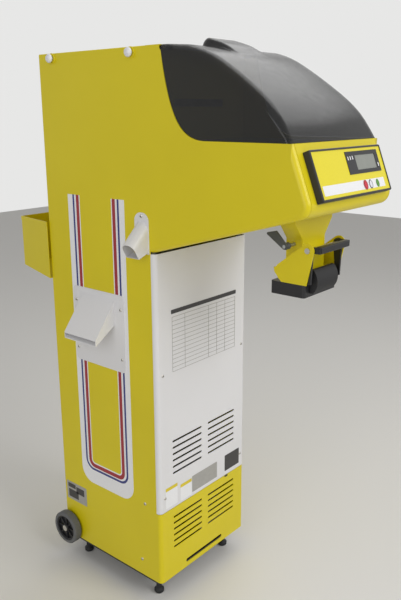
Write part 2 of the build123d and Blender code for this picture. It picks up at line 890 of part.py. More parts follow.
# Clamp lever: arms on the pin, a jaw that presses the bag on the frame, and a grip bar in front
arm_x = yoke_half - yoke_sheet - 1 - 5
jaw_face = -block_front - free_gap
jaw_half = 46.0
jaw_back = 6.0
jaw_bar = block_top + 13
jaw_top = block_top + 33
with BuildPart() as clamp_lever:
    for sign in (-1, 1):
        with BuildSketch(side(sign * arm_x + (-5 if sign < 0 else 0))):
            with Locations(pivot):
                Circle(11)
            Polygon(
                (yoke_pivot_y - 11, yoke_pivot_z),
                (yoke_pivot_y - 8, block_top + 3),
                (yoke_pivot_y + 3, block_top + 3),
                (yoke_pivot_y + 11, yoke_pivot_z),
                align=None,
            )
            with Locations((yoke_pivot_y - 14, yoke_pivot_z + 2)):
                Rectangle(30, 14)
            with Locations(pivot):
                Circle(pivot_radius + running_gap, mode=Mode.SUBTRACT)
        extrude(amount=5)
    with BuildSketch(side(-arm_x)):
        with Locations((yoke_pivot_y - 23, yoke_pivot_z + 2)):
            RectangleRounded(14, 16, 3)
        with Locations((jaw_face - jaw_back / 2, jaw_bar)):
            Rectangle(jaw_back, 12)
    extrude(amount=2 * arm_x)
keep(clamp_lever, "clamp_lever")

with BuildPart() as clamp_jaw:
    with BuildSketch(side(-jaw_half)):
        with BuildLine():
            jaw_foot = (jaw_face - 8, block_bottom + 8)
            jaw_brow = (jaw_face - 7, jaw_top)
            Polyline((jaw_face, jaw_top), (jaw_face, block_bottom + 8), jaw_foot)
            ThreePointArc(jaw_foot, (jaw_face - 19, block_top + 3), jaw_brow)
            Line(jaw_brow, (jaw_face, jaw_top))
        make_face()
        with Locations((jaw_face - jaw_back / 2, jaw_bar)):
            Rectangle(jaw_back, 12, mode=Mode.SUBTRACT)
    extrude(amount=2 * jaw_half)
keep(clamp_jaw, "clamp_jaw")

# Small-rice outlet: a plate on the left side with a spout that slopes out and down
plate_face = -half - plate_thickness
plate_screws = [
    (small_plate_y + sy * small_screw_span_y / 2, small_plate_z - 1 + sz * small_screw_span_z / 2)
    for sy in (-1, 1)
    for sz in (-1, 1)
]
tip_x = -half - spout_reach
fall_top = (spout_top - spout_tip_top) / (spout_reach - plate_thickness)
fall_bottom = (spout_bottom - spout_tip_bottom) / (spout_reach - plate_thickness)
with BuildPart() as small_outlet:
    with BuildSketch(side(plate_face)):
        with Locations((small_plate_y, small_plate_z)):
            RectangleRounded(small_plate_width, small_plate_height, 12)
    extrude(amount=plate_thickness)
    for inset, mode in ((0, Mode.ADD), (sheet, Mode.SUBTRACT)):
        over = 0 if inset == 0 else 6
        with BuildSketch(front(small_plate_y - spout_width / 2 + inset)):
            Polygon(
                (plate_face + over, spout_top - inset * 1.6 + over * fall_top),
                (tip_x - over, spout_tip_top - inset * 1.6 - over * fall_top),
                (tip_x - over, spout_tip_bottom + inset * 1.2 - over * fall_bottom),
                (plate_face + over, spout_bottom + inset * 1.2 + over * fall_bottom),
                align=None,
            )
        extrude(amount=-(spout_width - 2 * inset), mode=mode)
keep(small_outlet, "small_outlet")

# Overflow outlet: a small plate with an arched spout that looks down and out
over_width = over_plate_back - over_plate_front
over_middle = (over_plate_front + over_plate_back) / 2


def spout_arch(inset, over):
    """Solid of the overflow spout, set in from its outer face and run over at both ends."""
    spout_half = (over_width - 4) / 2 - inset
    with BuildPart() as arch:
        with BuildSketch(front(over_middle - spout_half)):
            Polygon(
                (plate_face + over, over_top - inset * 1.4 + over * 0.9),
                (-half - over_reach - over * 0.9, over_tip_z - inset * 1.4 - over * 0.95),
                (-half - over_lip - over * 0.9, over_lip_z + inset - over * 0.35),
                (plate_face + over, over_bottom + inset + over * 0.1),
                align=None,
            )
        extrude(amount=-2 * spout_half)
        ridge = arch.edges().filter_by(
            lambda e: e.center().Z > over_tip_z + 10 and abs(e.tangent_at(0.5).Y) < 0.1
            and abs(e.tangent_at(0.5).X) > 0.5
        )
        fillet(ridge, radius=spout_half - 3)
    return arch.part


with BuildPart() as overflow_spout:
    with BuildSketch(side(plate_face)) as over_plate:
        with Locations((over_middle, (over_plate_low + over_plate_high) / 2)):
            Rectangle(over_width, over_plate_high - over_plate_low)
        fillet(over_plate.vertices().group_by(Axis.Y)[-1], radius=over_width / 2 - 2)
        with Locations((over_middle, (over_top + over_bottom) / 2)):
            Rectangle(over_width - 14, over_top - over_bottom - 14, mode=Mode.SUBTRACT)
    extrude(amount=plate_thickness)
    add(spout_arch(0, 0))
    add(spout_arch(sheet, 8), mode=Mode.SUBTRACT)
keep(overflow_spout, "overflow_spout")

# Panel screws: pan heads on the covers, the sides and the plates of the outlets
screw_head = 4.5
screw_rise = 2.2
cover_screw_places = [(-half + 20, 683.0), (half - 20, 683.0), (-half + 20, 330.0), (half - 20, 330.0)]
side_screw_places = [(43, 301), (60, 119)]
with BuildPart() as panel_screws:
    with BuildSketch(front(-cover_stand)):
        with Locations(*cover_screw_places):
            Circle(screw_head)
    extrude(amount=screw_rise)
    for sign in (-1, 1):
        with BuildSketch(side(sign * half)):
            with Locations(*side_screw_places):
                Circle(screw_head)
        extrude(amount=sign * screw_rise)
    with BuildSketch(side(plate_face)):
        with Locations(*plate_screws):
            Circle(screw_head)
        with Locations((over_middle, over_plate_high - 9)):
            Circle(screw_head)
    extrude(amount=-screw_rise)
keep(panel_screws, "panel_screws")

# Receiving hopper: open on top, its floor falls towards the column
hopper_back = column_depth + hopper_depth


def hopper_body(inset, over):
    """Solid of the hopper's tub, set in from its outer face and run over at its open faces."""
    with BuildPart() as body:
        with BuildSketch(plan(hopper_floor_front)):
            Polygon(
                (-hopper_front_half + inset, column_depth - over),
                (hopper_front_half - inset, column_depth - over),
                (hopper_back_half - inset, hopper_back - inset),
                (-hopper_back_half + inset, hopper_back - inset),
                align=None,
            )
        extrude(amount=hopper_rim - hopper_floor_front + over)
        # everything under the sloping floor comes off
        with BuildSketch(side(-hopper_front_half - 1)):
            Polygon(
                (column_depth - 2, hopper_floor_front + inset - 0.1),
                (hopper_back + 2, hopper_floor + inset + 0.1),
                (hopper_back + 2, hopper_floor_front - 5),
                (column_depth - 2, hopper_floor_front - 5),
                align=None,
            )
        extrude(amount=2 * hopper_front_half + 2, mode=Mode.SUBTRACT)
    return body.part


with BuildPart() as receiving_hopper:
    add(hopper_body(0, 0))
    add(hopper_body(sheet, 1), mode=Mode.SUBTRACT)
    # rim folded out along the sides
    with BuildSketch(plan(hopper_rim - hopper_rim_fold)):
        for sign in (-1, 1):
            Polygon(
                (sign * hopper_front_half, column_depth),
                (sign * (hopper_front_half + sheet), column_depth),
                (sign * (hopper_back_half + sheet), hopper_back),
                (sign * hopper_back_half, hopper_back),
                align=None,
            )
    extrude(amount=hopper_rim_fold)
keep(receiving_hopper, "receiving_hopper")

# Feed duct: takes the grain from the hopper down the back and into the foot of the auger tube
tube_outer = tube_inner + tube_wall
duct_mouth = auger_y + 10
duct_back = column_depth - sheet
duct_half = inlet_half + sheet
duct_depth = 66.0
duct_low = 180.0
duct_low_back = 206.0
duct_high = 300.0
duct_high_back = 330.0
with BuildPart() as feed_duct:
    for inset, mode in ((0, Mode.ADD), (sheet, Mode.SUBTRACT)):
        over = 0 if inset == 0 else 1
        with BuildSketch(side(-duct_half + inset)):
            Polygon(
                (duct_back - inset, inlet_high + sheet - inset),
                (duct_back - inset, duct_low_back + inset),
                (duct_mouth - over, duct_low + inset),
                (duct_mouth - over, duct_high - inset),
                (duct_back - duct_depth + inset, duct_high_back - inset),
                (duct_back - duct_depth + inset, inlet_high + sheet - inset),
                align=None,
            )
        extrude(amount=2 * (duct_half - inset), mode=mode)
    with BuildSketch(front(duct_back + 1)):
        with Locations((0, (inlet_low + inlet_high) / 2)):
            Rectangle(2 * inlet_half, inlet_high - inlet_low)
    extrude(amount=4, mode=Mode.SUBTRACT)
    with BuildSketch(plan(duct_low - 10)):
        with Locations((0, auger_y)):
            Circle(tube_outer)
    extrude(amount=duct_high - duct_low + 30, mode=Mode.SUBTRACT)
keep(feed_duct, "feed_duct")

# Bearing bridge across the column, and the flanged bearings of the auger
bridge_height = 132.0
bridge_thickness = 4.0
bearing_height = 14.0
bearing_flange = 38.0
bridge_width = 80.0
pan_top = column_foot + pan_thickness
with BuildPart() as drive_brackets:
    with BuildSketch(plan(bridge_height)):
        with Locations((0, auger_y)):
            Rectangle(2 * (half - sheet), bridge_width)
            Circle(auger_shaft_radius + 2, mode=Mode.SUBTRACT)
    extrude(amount=bridge_thickness)
    # stand of the motor: a shelf on two upright walls
    with BuildSketch(plan(motor_low - shelf_thickness)):
        with Locations((motor_x, motor_y - 2)):
            Rectangle(shelf_width, shelf_depth)
            with Locations((0, 2)):
                Circle(motor_shaft_radius + 6, mode=Mode.SUBTRACT)
    extrude(amount=shelf_thickness)
    with BuildSketch(plan(pan_top)):
        with Locations((motor_x, motor_y - 2 - shelf_depth / 2 + shelf_thickness / 2)):
            Rectangle(shelf_width, shelf_thickness)
        with Locations((motor_x + shelf_width / 2 - shelf_thickness / 2, motor_y - 2)):
            Rectangle(shelf_thickness, shelf_depth)
    extrude(amount=motor_low - shelf_thickness - pan_top)
keep(drive_brackets, "drive_brackets")

with BuildPart() as auger_bearings:
    for seat in (bridge_height + bridge_thickness, bearing_plate + bridge_thickness):
        with BuildSketch(plan(seat)):
            with Locations((0, auger_y)):
                Circle(bearing_flange)
        extrude(amount=5)
        with BuildSketch(plan(seat)):
            with Locations((0, auger_y)):
                Circle(auger_shaft_radius + 9)
        extrude(amount=bearing_height)
        with BuildSketch(plan(seat)):
            with Locations((0, auger_y)):
                Circle(auger_shaft_radius + running_gap)
        extrude(amount=bearing_height, mode=Mode.SUBTRACT)
keep(auger_bearings, "auger_bearings")

# Auger tube below the screen, with an inlet window at its back
tube_window_width = 70.0
tube_window_height = 100.0
with BuildPart() as auger_tube:
    with BuildSketch(plan(bridge_height + bridge_thickness)):
        with Locations((0, auger_y)):
            Circle(tube_outer)
            Circle(tube_inner, mode=Mode.SUBTRACT)
    extrude(amount=screen_bottom - bridge_height - bridge_thickness)
    with BuildSketch(front(auger_y + tube_outer + 1)):
        with Locations((0, (duct_low + duct_high) / 2 - 4)):
            Rectangle(tube_window_width, tube_window_height)
    extrude(amount=tube_outer, mode=Mode.SUBTRACT)
keep(auger_tube, "auger_tube")

# Slotted screen: small grain falls out through its upright slots
with BuildPart() as grading_screen:
    with BuildSketch(plan(screen_bottom)):
        with Locations((0, auger_y)):
            Circle(tube_outer)
            Circle(tube_inner, mode=Mode.SUBTRACT)
    extrude(amount=screen_top - screen_bottom)
    row_height = (screen_top - screen_bottom) / slot_rows
    for row in range(slot_rows):
        with BuildSketch(plan(screen_bottom + row * row_height + 8)):
            with Locations((0, auger_y)):
                with PolarLocations(tube_inner + tube_wall / 2, slot_count, start_angle=9):
                    Rectangle(3 * tube_wall, slot_width)
        extrude(amount=row_height - 16, mode=Mode.SUBTRACT)
keep(grading_screen, "grading_screen")

# Screen housing: catches the small grain and lets it fall to the outlet on the left
with BuildPart() as screen_housing:
    for inset, mode in ((0, Mode.ADD), (sheet, Mode.SUBTRACT)):
        over = 0 if inset == 0 else 2
        with BuildSketch(front(auger_y - housing_half + inset)):
            Polygon(
                (-housing_half + inset, screen_top + over),
                (housing_half - inset, screen_top + over),
                (housing_half - inset, housing_floor + 48 + inset),
                (-housing_half + inset, housing_floor + 3 + inset),
                align=None,
            )
        extrude(amount=-2 * (housing_half - inset), mode=mode)
    for inset, mode in ((0, Mode.ADD), (sheet, Mode.SUBTRACT)):
        over = 0 if inset == 0 else 2
        with BuildSketch(front(auger_y - spout_width / 2 + inset)):
            Polygon(
                (-housing_half + over, housing_floor + 93 - inset),
                (-housing_half + over, housing_floor + 3 + inset),
                (-half + sheet - over, spout_bottom + 2 + inset),
                (-half + sheet - over, spout_top - 2 - inset),
                align=None,
            )
        extrude(amount=-(spout_width - 2 * inset), mode=mode)
    with BuildSketch(plan(housing_floor - 10)):
        with Locations((0, auger_y)):
            Circle(tube_outer)
    extrude(amount=80, mode=Mode.SUBTRACT)
keep(screen_housing, "screen_housing")

# Discharge head: a box round the auger's top that leads the grain out to the tank
with BuildPart() as discharge_head:
    for inset, mode in ((0, Mode.ADD), (sheet, Mode.SUBTRACT)):
        over = 0 if inset == 0 else 1
        with BuildSketch(plan(screen_top + inset)):
            with Locations((0, (auger_y + housing_half - inset - over) / 2)):
                Rectangle(2 * (discharge_half + sheet - inset), auger_y + housing_half - inset + over)
        extrude(amount=bearing_plate - screen_top - 2 * inset, mode=mode)
    with BuildSketch(plan(screen_top - 1)):
        with Locations((0, auger_y)):
            Circle(tube_inner)
    extrude(amount=4, mode=Mode.SUBTRACT)
    with BuildSketch(plan(bearing_plate)):
        with Locations((0, auger_y)):
            Rectangle(2 * (half - sheet), bridge_width)
    extrude(amount=bridge_thickness)
    with BuildSketch(plan(bearing_plate - 5)):
        with Locations((0, auger_y)):
            Circle(auger_shaft_radius + 2)
    extrude(amount=12, mode=Mode.SUBTRACT)
keep(discharge_head, "discharge_head")

# Overflow duct: from the tank's rim down to the overflow outlet
with BuildPart() as overflow_duct:
    for inset, mode in ((0, Mode.ADD), (sheet, Mode.SUBTRACT)):
        with BuildSketch(plan(underside_height + 1 + inset)):
            with Locations((-half + sheet + over_duct / 2, over_middle - 1)):
                Rectangle(over_duct - 2 * inset, over_width + 2 - 2 * inset)
        extrude(amount=over_lip_high + 4 - underside_height - 1 - 2 * inset, mode=mode)
    with BuildSketch(front(-1)):
        with Locations((-half + over_duct / 2, (over_lip_low + over_lip_high) / 2)):
            Rectangle(over_duct - 12, over_lip_high - over_lip_low)
    extrude(amount=-6, mode=Mode.SUBTRACT)
    with BuildSketch(side(-half + sheet - 1)):
        with Locations((over_middle, (over_top + over_bottom) / 2)):
            Rectangle(over_width - 14, over_top - over_bottom - 14)
    extrude(amount=4, mode=Mode.SUBTRACT)
keep(overflow_duct, "overflow_duct")

# Auger screw: one flight wound round the shaft, with paddles at the top that throw the grain out
flight_low = bridge_height + bridge_thickness + bearing_height + 10
flight_high = screen_top - 6
with BuildPart() as auger_screw:
    # the flight is a row of straight runs, so many to each turn
    steps = round((flight_high - flight_low) / flight_pitch * flight_sides)
    flight_middle = (auger_radius + auger_shaft_radius - 1.5) / 2
    for step in range(steps + 1):
        angle = 2 * pi * step / flight_sides
        across = Plane(
            origin=(centre_x, seam_y + auger_y, flight_low + flight_pitch * step / flight_sides),
            x_dir=(cos(angle), sin(angle), 0),
            z_dir=(-sin(angle), cos(angle), 0),
        )
        with BuildSketch(across):
            with Locations((flight_middle, 0)):
                Rectangle(auger_radius - auger_shaft_radius + 1.5, flight_thickness)
    loft(ruled=True)
    with BuildSketch(plan(pulley_low - 4)):
        with Locations((0, auger_y)):
            Circle(auger_shaft_radius)
    extrude(amount=bearing_plate + bridge_thickness + bearing_height + 3 - pulley_low + 4)
    with BuildSketch(plan(screen_top + 4)):
        with Locations((0, auger_y)):
            Rectangle(2 * (auger_radius - 2), 4)
            Rectangle(4, 2 * (auger_radius - 2))
    extrude(amount=discharge_high - screen_top - 6)
keep(auger_screw, "auger_screw")

# Belt drive: motor and its bracket, two grooved pulleys, and the belt round them
drive_reach = (motor_x**2 + (auger_y - motor_y) ** 2) ** 0.5
pulley_middle = pulley_low + pulley_height / 2


def pulley(x, y, radius, shaft_radius, shaft_top=None):
    """Round pulley with one V groove, bored for a shaft or, where shaft_top is given, on its own."""
    with BuildPart() as wheel:
        with BuildSketch(plan(pulley_low)):
            with Locations((x, y)):
                Circle(radius)
        extrude(amount=pulley_height)
        with BuildSketch(Plane(origin=(centre_x + x, seam_y + y, 0), x_dir=(1, 0, 0), z_dir=(0, -1, 0))):
            Polygon(
                (radius + 1, pulley_middle - 7),
                (radius + 1, pulley_middle + 7),
                (radius - 9, pulley_middle + 4),
                (radius - 9, pulley_middle - 4),
                align=None,
            )
        revolve(axis=Axis((centre_x + x, seam_y + y, 0), (0, 0, 1)), mode=Mode.SUBTRACT)
        with BuildSketch(plan(pulley_low)):
            with Locations((x, y)):
                Circle(shaft_radius)
        if shaft_top is None:
            extrude(amount=pulley_height, mode=Mode.SUBTRACT)
        else:
            extrude(amount=shaft_top - pulley_low)
    return wheel


keep(pulley(0, auger_y, auger_pulley_radius, auger_shaft_radius), "auger_pulley")
motor_shaft_top = motor_low + motor_height - 20
keep(pulley(motor_x, motor_y, motor_pulley_radius, motor_shaft_radius, motor_shaft_top), "motor_pulley")

belt_groove = 7.0
with BuildPart() as drive_belt:
    with BuildSketch(plan(pulley_middle - 4)) as belt_plan:
        with Locations((0, auger_y)):
            Circle(auger_pulley_radius - belt_groove + belt_thickness)
        with Locations((motor_x, motor_y)):
            Circle(motor_pulley_radius - belt_groove + belt_thickness)
        make_hull()
    extrude(amount=8)
    with BuildSketch(plan(pulley_middle - 4)):
        with Locations((0, auger_y)):
            Circle(auger_pulley_radius - belt_groove)
        with Locations((motor_x, motor_y)):
            Circle(motor_pulley_radius - belt_groove)
        make_hull()
    extrude(amount=8, mode=Mode.SUBTRACT)
keep(drive_belt, "drive_belt")

with BuildPart() as drive_motor:
    with BuildSketch(plan(motor_low)):
        with Locations((motor_x, motor_y)):
            Circle(motor_radius)
            with PolarLocations(motor_radius, 8):
                Rectangle(8, 5)
    extrude(amount=motor_height)
    with BuildSketch(plan(motor_low)):
        with Locations((motor_x, motor_y)):
            Circle(motor_shaft_radius + running_gap)
    extrude(amount=motor_height - 12, mode=Mode.SUBTRACT)
    with BuildSketch(plan(motor_low + motor_height)):
        with Locations((motor_x, motor_y)):
            Circle(motor_radius - 8)
    extrude(amount=16)
keep(drive_motor, "drive_motor")

# Tipping wheels: an axle through both sides of the column, carried by a plate inside each
wheel_y = column_depth - wheel_back
wheel_inner = half + wheel_gap
wheel_outer = wheel_inner + wheel_width
plate_foot = column_foot + pan_thickness
with BuildPart() as wheel_brackets:
    for sign in (-1, 1):
        with BuildSketch(side(sign * (half - sheet))):
            with Locations((wheel_y - 1, plate_foot + axle_plate_height / 2)):
                Rectangle(axle_plate_width - 4, axle_plate_height)
            with Locations((wheel_y, wheel_height)):
                Circle(axle_radius, mode=Mode.SUBTRACT)
        extrude(amount=-sign * axle_plate)
        with BuildSketch(plan(plate_foot)):
            with Locations((sign * (half - sheet - 10), wheel_y - 1)):
                Rectangle(20, axle_plate_width - 4)
        extrude(amount=axle_plate)
keep(wheel_brackets, "wheel_brackets")

with BuildPart() as wheel_axle:
    with BuildSketch(side(-wheel_outer - axle_head / 2)):
        with Locations((wheel_y, wheel_height)):
            Circle(axle_radius)
    extrude(amount=2 * wheel_outer + axle_head)
    for sign in (-1, 1):
        with BuildSketch(side(sign * (wheel_outer - axle_head / 2))):
            with Locations((wheel_y, wheel_height)):
                Circle(axle_radius + 3)
        extrude(amount=sign * axle_head)
keep(wheel_axle, "wheel_axle")

rim_radius = 40.0
tyre_shoulder = 3.0
hub_radius = 12.0
hub_middle = (wheel_inner + wheel_outer) / 2
for name, sign in (("left", -1), ("right", 1)):
    axis = Axis((centre_x, seam_y + wheel_y, wheel_height), (1, 0, 0))
    turn_plane = Plane(origin=(centre_x, seam_y + wheel_y, wheel_height), x_dir=(1, 0, 0), z_dir=(0, -1, 0))
    with BuildPart() as tyre:
        with BuildSketch(turn_plane):
            with Locations((sign * hub_middle, (rim_radius + wheel_radius) / 2)):
                tread = Rectangle(wheel_width, wheel_radius - rim_radius)
            chamfer(tread.vertices().group_by(Axis.Y)[-1], length=tyre_shoulder)
            with Locations((sign * hub_middle, rim_radius + 2)):
                Rectangle(wheel_width - 4, 4)
        revolve(axis=axis)
    keep(tyre, f"{name}_tyre")
    with BuildPart() as rim:
        with BuildSketch(turn_plane):
            with Locations((sign * hub_middle, rim_radius - 2.5)):
                Rectangle(wheel_width - 6, 5)
            with Locations((sign * hub_middle, (rim_radius + axle_radius) / 2)):
                Rectangle(5, rim_radius - axle_radius - 4)
            with Locations((sign * hub_middle, (hub_radius + axle_radius + running_gap) / 2)):
                Rectangle(wheel_width - axle_head - 0.6, hub_radius - axle_radius - running_gap)
        revolve(axis=axis)
        with BuildSketch(side(sign * hub_middle)):
            with Locations((wheel_y, wheel_height)):
                with PolarLocations((rim_radius + 10) / 2, 8):
                    Rectangle(rim_radius - 12, 3)
        extrude(amount=sign * (wheel_width / 2 - 5))
    keep(rim, f"{name}_rim")

# Feet under the pan's corners: a stem with a round rubber pad
foot_place_y = (foot_inset_y, column_depth - foot_inset_y - foot_radius)
with BuildPart() as front_feet:
    for sign in (-1, 1):
        for place_y in foot_place_y:
            foot_x = sign * (half - foot_inset_x)
            foot_axis = Axis((centre_x + foot_x, seam_y + place_y, 0), (0, 0, 1))
            with BuildSketch(front(place_y)):
                with Locations((foot_x, 0)):
                    Polygon(
                        (0, 0),
                        (foot_radius - 3, 0),
                        (foot_radius, 4),
                        (foot_radius, foot_pad - 5),
                        (foot_stem, foot_pad),
                        (foot_stem, column_foot),
                        (0, column_foot),
                        align=None,
                    )
            revolve(axis=foot_axis)
keep(front_feet, "front_feet")

# Gland for the mains lead, low on the back
gland_x = -70.0
gland_z = 112.0
with BuildPart() as cable_gland:
    with BuildSketch(front(column_depth)):
        with Locations((gland_x, gland_z)):
            RegularPolygon(11, 6)
    extrude(amount=-8)
    with BuildSketch(front(column_depth + 8)):
        with Locations((gland_x, gland_z)):
            Circle(8)
    extrude(amount=-8)
    with BuildSketch(front(column_depth + 17)):
        with Locations((gland_x, gland_z)):
            Circle(4)
    extrude(amount=14, mode=Mode.SUBTRACT)
keep(cable_gland, "cable_gland")

# Knobs of the top cover, two on each side
for side_name, sign in (("left", -1), ("right", 1)):
    for row_name, knob_y in knob_places.items():
        with BuildPart() as knob:
            knob_z = lid_seam + cap_depth / 2
            with BuildSketch(side(sign * (half - 12))):
                with Locations((knob_y, knob_z)):
                    Circle(knob_stem)
            extrude(amount=sign * 14)
            with BuildSketch(side(sign * (half + free_gap))):
                with Locations((knob_y, knob_z)):
                    Circle(knob_radius - 5)
            extrude(amount=sign * (knob_neck - free_gap))
            with BuildSketch(side(sign * (half + knob_neck))):
                with Locations((knob_y, knob_z)):
                    Circle(knob_radius)
            extrude(amount=sign * knob_head)
            outer_rim = knob.edges().filter_by(GeomType.CIRCLE).sort_by(Axis.X)[-1 if sign > 0 else 0]
            chamfer(outer_rim, length=3)
        keep(knob, f"knob_{side_name}_{row_name}")
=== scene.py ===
import json
import math
import bmesh
import bpy
from mathutils import Matrix, Vector


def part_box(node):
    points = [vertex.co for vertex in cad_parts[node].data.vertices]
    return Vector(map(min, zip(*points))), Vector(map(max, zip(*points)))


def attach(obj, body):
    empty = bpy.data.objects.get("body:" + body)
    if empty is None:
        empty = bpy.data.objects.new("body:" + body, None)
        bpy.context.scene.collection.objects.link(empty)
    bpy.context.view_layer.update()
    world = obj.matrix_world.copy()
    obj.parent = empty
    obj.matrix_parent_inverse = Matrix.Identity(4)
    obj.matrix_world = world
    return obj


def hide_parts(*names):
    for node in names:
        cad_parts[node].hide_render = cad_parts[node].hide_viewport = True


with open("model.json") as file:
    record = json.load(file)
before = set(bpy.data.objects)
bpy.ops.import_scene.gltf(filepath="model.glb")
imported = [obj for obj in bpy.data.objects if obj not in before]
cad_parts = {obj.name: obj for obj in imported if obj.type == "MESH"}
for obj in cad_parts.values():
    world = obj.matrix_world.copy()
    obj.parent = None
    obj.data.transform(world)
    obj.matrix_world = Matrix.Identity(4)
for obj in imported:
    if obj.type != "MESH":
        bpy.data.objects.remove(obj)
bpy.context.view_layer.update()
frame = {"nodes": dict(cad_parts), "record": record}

print("frame loaded:", len(frame["nodes"]), "parts")

# The machine's own axes in mm: x from the column's middle, y from the seam in front of it, z from
# the floor
columnLow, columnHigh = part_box("column_shell")
middleX = (columnLow.x + columnHigh.x) / 2
seamY = columnLow.y
mm = 0.001
halfColumn = (columnHigh.x - columnLow.x) / 2 / mm


def place(x, y, z):
    return Vector((middleX + x * mm, seamY + y * mm, z * mm))


def toMachine(point):
    return Vector(((point.x - middleX) / mm, (point.y - seamY) / mm, point.z / mm))


def hexColour(code):
    channels = [int(code[i:i + 2], 16) / 255 for i in (1, 3, 5)]
    linear = [c / 12.92 if c <= 0.04045 else ((c + 0.055) / 1.055) ** 2.4 for c in channels]
    return (*linear, 1.0)


# Settings go by socket or property. A colour Mix has numbered sockets: 0 its factor, 6 and 7 its
# colours
def addNode(tree, kind, settings=None, links=None):
    node = tree.nodes.new(kind)
    for key, value in (settings or {}).items():
        if isinstance(key, int) or key in node.inputs:
            node.inputs[key].default_value = value
        else:
            setattr(node, key, value)
    for key, source in (links or {}).items():
        tree.links.new(source, node.inputs[key])
    return node


def newMaterial(name):
    material = bpy.data.materials.new(name)
    material.use_nodes = True
    material.node_tree.nodes.clear()
    return material, material.node_tree


# Noise scale for a feature of that size in mm
def perMetre(size):
    return 1000 / size


# Painted sheet steel: stoved enamel with faint orange peel, soft stains and dust near the floor
def enamelledSteel(name, look):
    material, tree = newMaterial(name)
    where = addNode(tree, "ShaderNodeTexCoord")
    # broad, very faint change of tone that a large sprayed panel has
    cloud = addNode(tree, "ShaderNodeTexNoise", {"Scale": perMetre(look["cloud"]), "Detail": 3.0},
                    {"Vector": where.outputs["Object"]})
    cloudRamp = addNode(tree, "ShaderNodeMapRange",
                        {"From Min": 0.35, "From Max": 0.7, "To Max": 0.35},
                        {"Value": cloud.outputs["Fac"]})
    tone = addNode(tree, "ShaderNodeMix", {"data_type": "RGBA", 6: hexColour(look["colour"]),
                                           7: hexColour(look["deep"])}, {0: cloudRamp.outputs[0]})
    # scuffs: thin grey specks where boots and bags brush the paint
    scuff = addNode(tree, "ShaderNodeTexNoise",
                    {"Scale": perMetre(look["scuff"]), "Detail": 8.0, "Roughness": 0.7},
                    {"Vector": where.outputs["Object"]})
    height = addNode(tree, "ShaderNodeSeparateXYZ", links={"Vector": where.outputs["Object"]})
    low = addNode(tree, "ShaderNodeMapRange", {"From Min": 0.45, "From Max": 0.05, "To Min": 0.0,
                                               "To Max": 0.10}, {"Value": height.outputs["Z"]})
    edge = addNode(tree, "ShaderNodeMath", {"operation": "ADD", 1: look["clean"]},
                   {0: scuff.outputs["Fac"]})
    edgeLow = addNode(tree, "ShaderNodeMath", {"operation": "ADD"},
                      {0: edge.outputs[0], 1: low.outputs[0]})
    speck = addNode(tree, "ShaderNodeMapRange", {"From Min": 0.70, "From Max": 0.80, "To Max": 0.5},
                    {"Value": edgeLow.outputs[0]})
    colour = addNode(tree, "ShaderNodeMix", {"data_type": "RGBA", 7: hexColour(look["dust"])},
                     {0: speck.outputs[0], 6: tone.outputs[2]})
    rough = addNode(tree, "ShaderNodeMapRange", {"To Min": look["roughness"] - 0.04,
                                                 "To Max": look["roughness"] + 0.10},
                    {"Value": cloud.outputs["Fac"]})
    peel = addNode(tree, "ShaderNodeTexNoise", {"Scale": perMetre(look["peel"]), "Detail": 2.0},
                   {"Vector": where.outputs["Object"]})
    bump = addNode(tree, "ShaderNodeBump", {"Strength": look["bump"], "Distance": 0.0004},
                   {"Height": peel.outputs["Fac"]})
    paint = addNode(tree, "ShaderNodeBsdfPrincipled", {"IOR": 1.5, "Coat Weight": look["coat"],
                                                       "Coat Roughness": 0.12},
                    {"Base Color": colour.outputs[2], "Roughness": rough.outputs[0],
                     "Normal": bump.outputs[0]})
    addNode(tree, "ShaderNodeOutputMaterial", links={"Surface": paint.outputs[0]})
    return material


# lemon yellow stoving enamel, half gloss
yellowEnamel = enamelledSteel("yellowStovedEnamel", {
    "colour": "#DDCB00", "deep": "#CDBB00", "dust": "#8D8450", "roughness": 0.38, "coat": 0.0,
    "cloud": 260, "scuff": 24, "clean": -0.10, "peel": 3.5, "bump": 0.10})
# warm white enamel of the covers and outlets, a little glossier
whiteEnamel = enamelledSteel("whiteStovedEnamel", {
    "colour": "#E2E1E2", "deep": "#D8D7D9", "dust": "#9A958B", "roughness": 0.32, "coat": 0.1,
    "cloud": 300, "scuff": 26, "clean": -0.12, "peel": 3.5, "bump": 0.08})
# black enamel of the base pan, brackets and bag frame, rubbed by use
blackEnamel = enamelledSteel("blackStovedEnamel", {
    "colour": "#16161A", "deep": "#0E0E11", "dust": "#5B5852", "roughness": 0.38, "coat": 0.1,
    "cloud": 60, "scuff": 9, "clean": -0.03, "peel": 2.0, "bump": 0.15})
print("enamels made")


# Galvanised sheet: zinc crystals a centimetre across, dull and grey
def galvanisedSheet():
    spangleSize = 11
    material, tree = newMaterial("hotDippedGalvanisedSheet")
    where = addNode(tree, "ShaderNodeTexCoord")
    spangle = addNode(tree, "ShaderNodeTexVoronoi", {"Scale": perMetre(spangleSize)},
                      {"Vector": where.outputs["Object"]})
    tone = addNode(tree, "ShaderNodeMapRange", {"To Min": 0.30, "To Max": 0.55},
                   {"Value": spangle.outputs["Color"]})
    colour = addNode(tree, "ShaderNodeMix",
                     {"data_type": "RGBA", 6: hexColour("#8C9092"), 7: hexColour("#C3C7C8")},
                     {0: spangle.outputs["Color"]})
    metal = addNode(tree, "ShaderNodeBsdfPrincipled", {"Metallic": 1.0},
                    {"Base Color": colour.outputs[2], "Roughness": tone.outputs[0]})
    addNode(tree, "ShaderNodeOutputMaterial", links={"Surface": metal.outputs[0]})
    return material


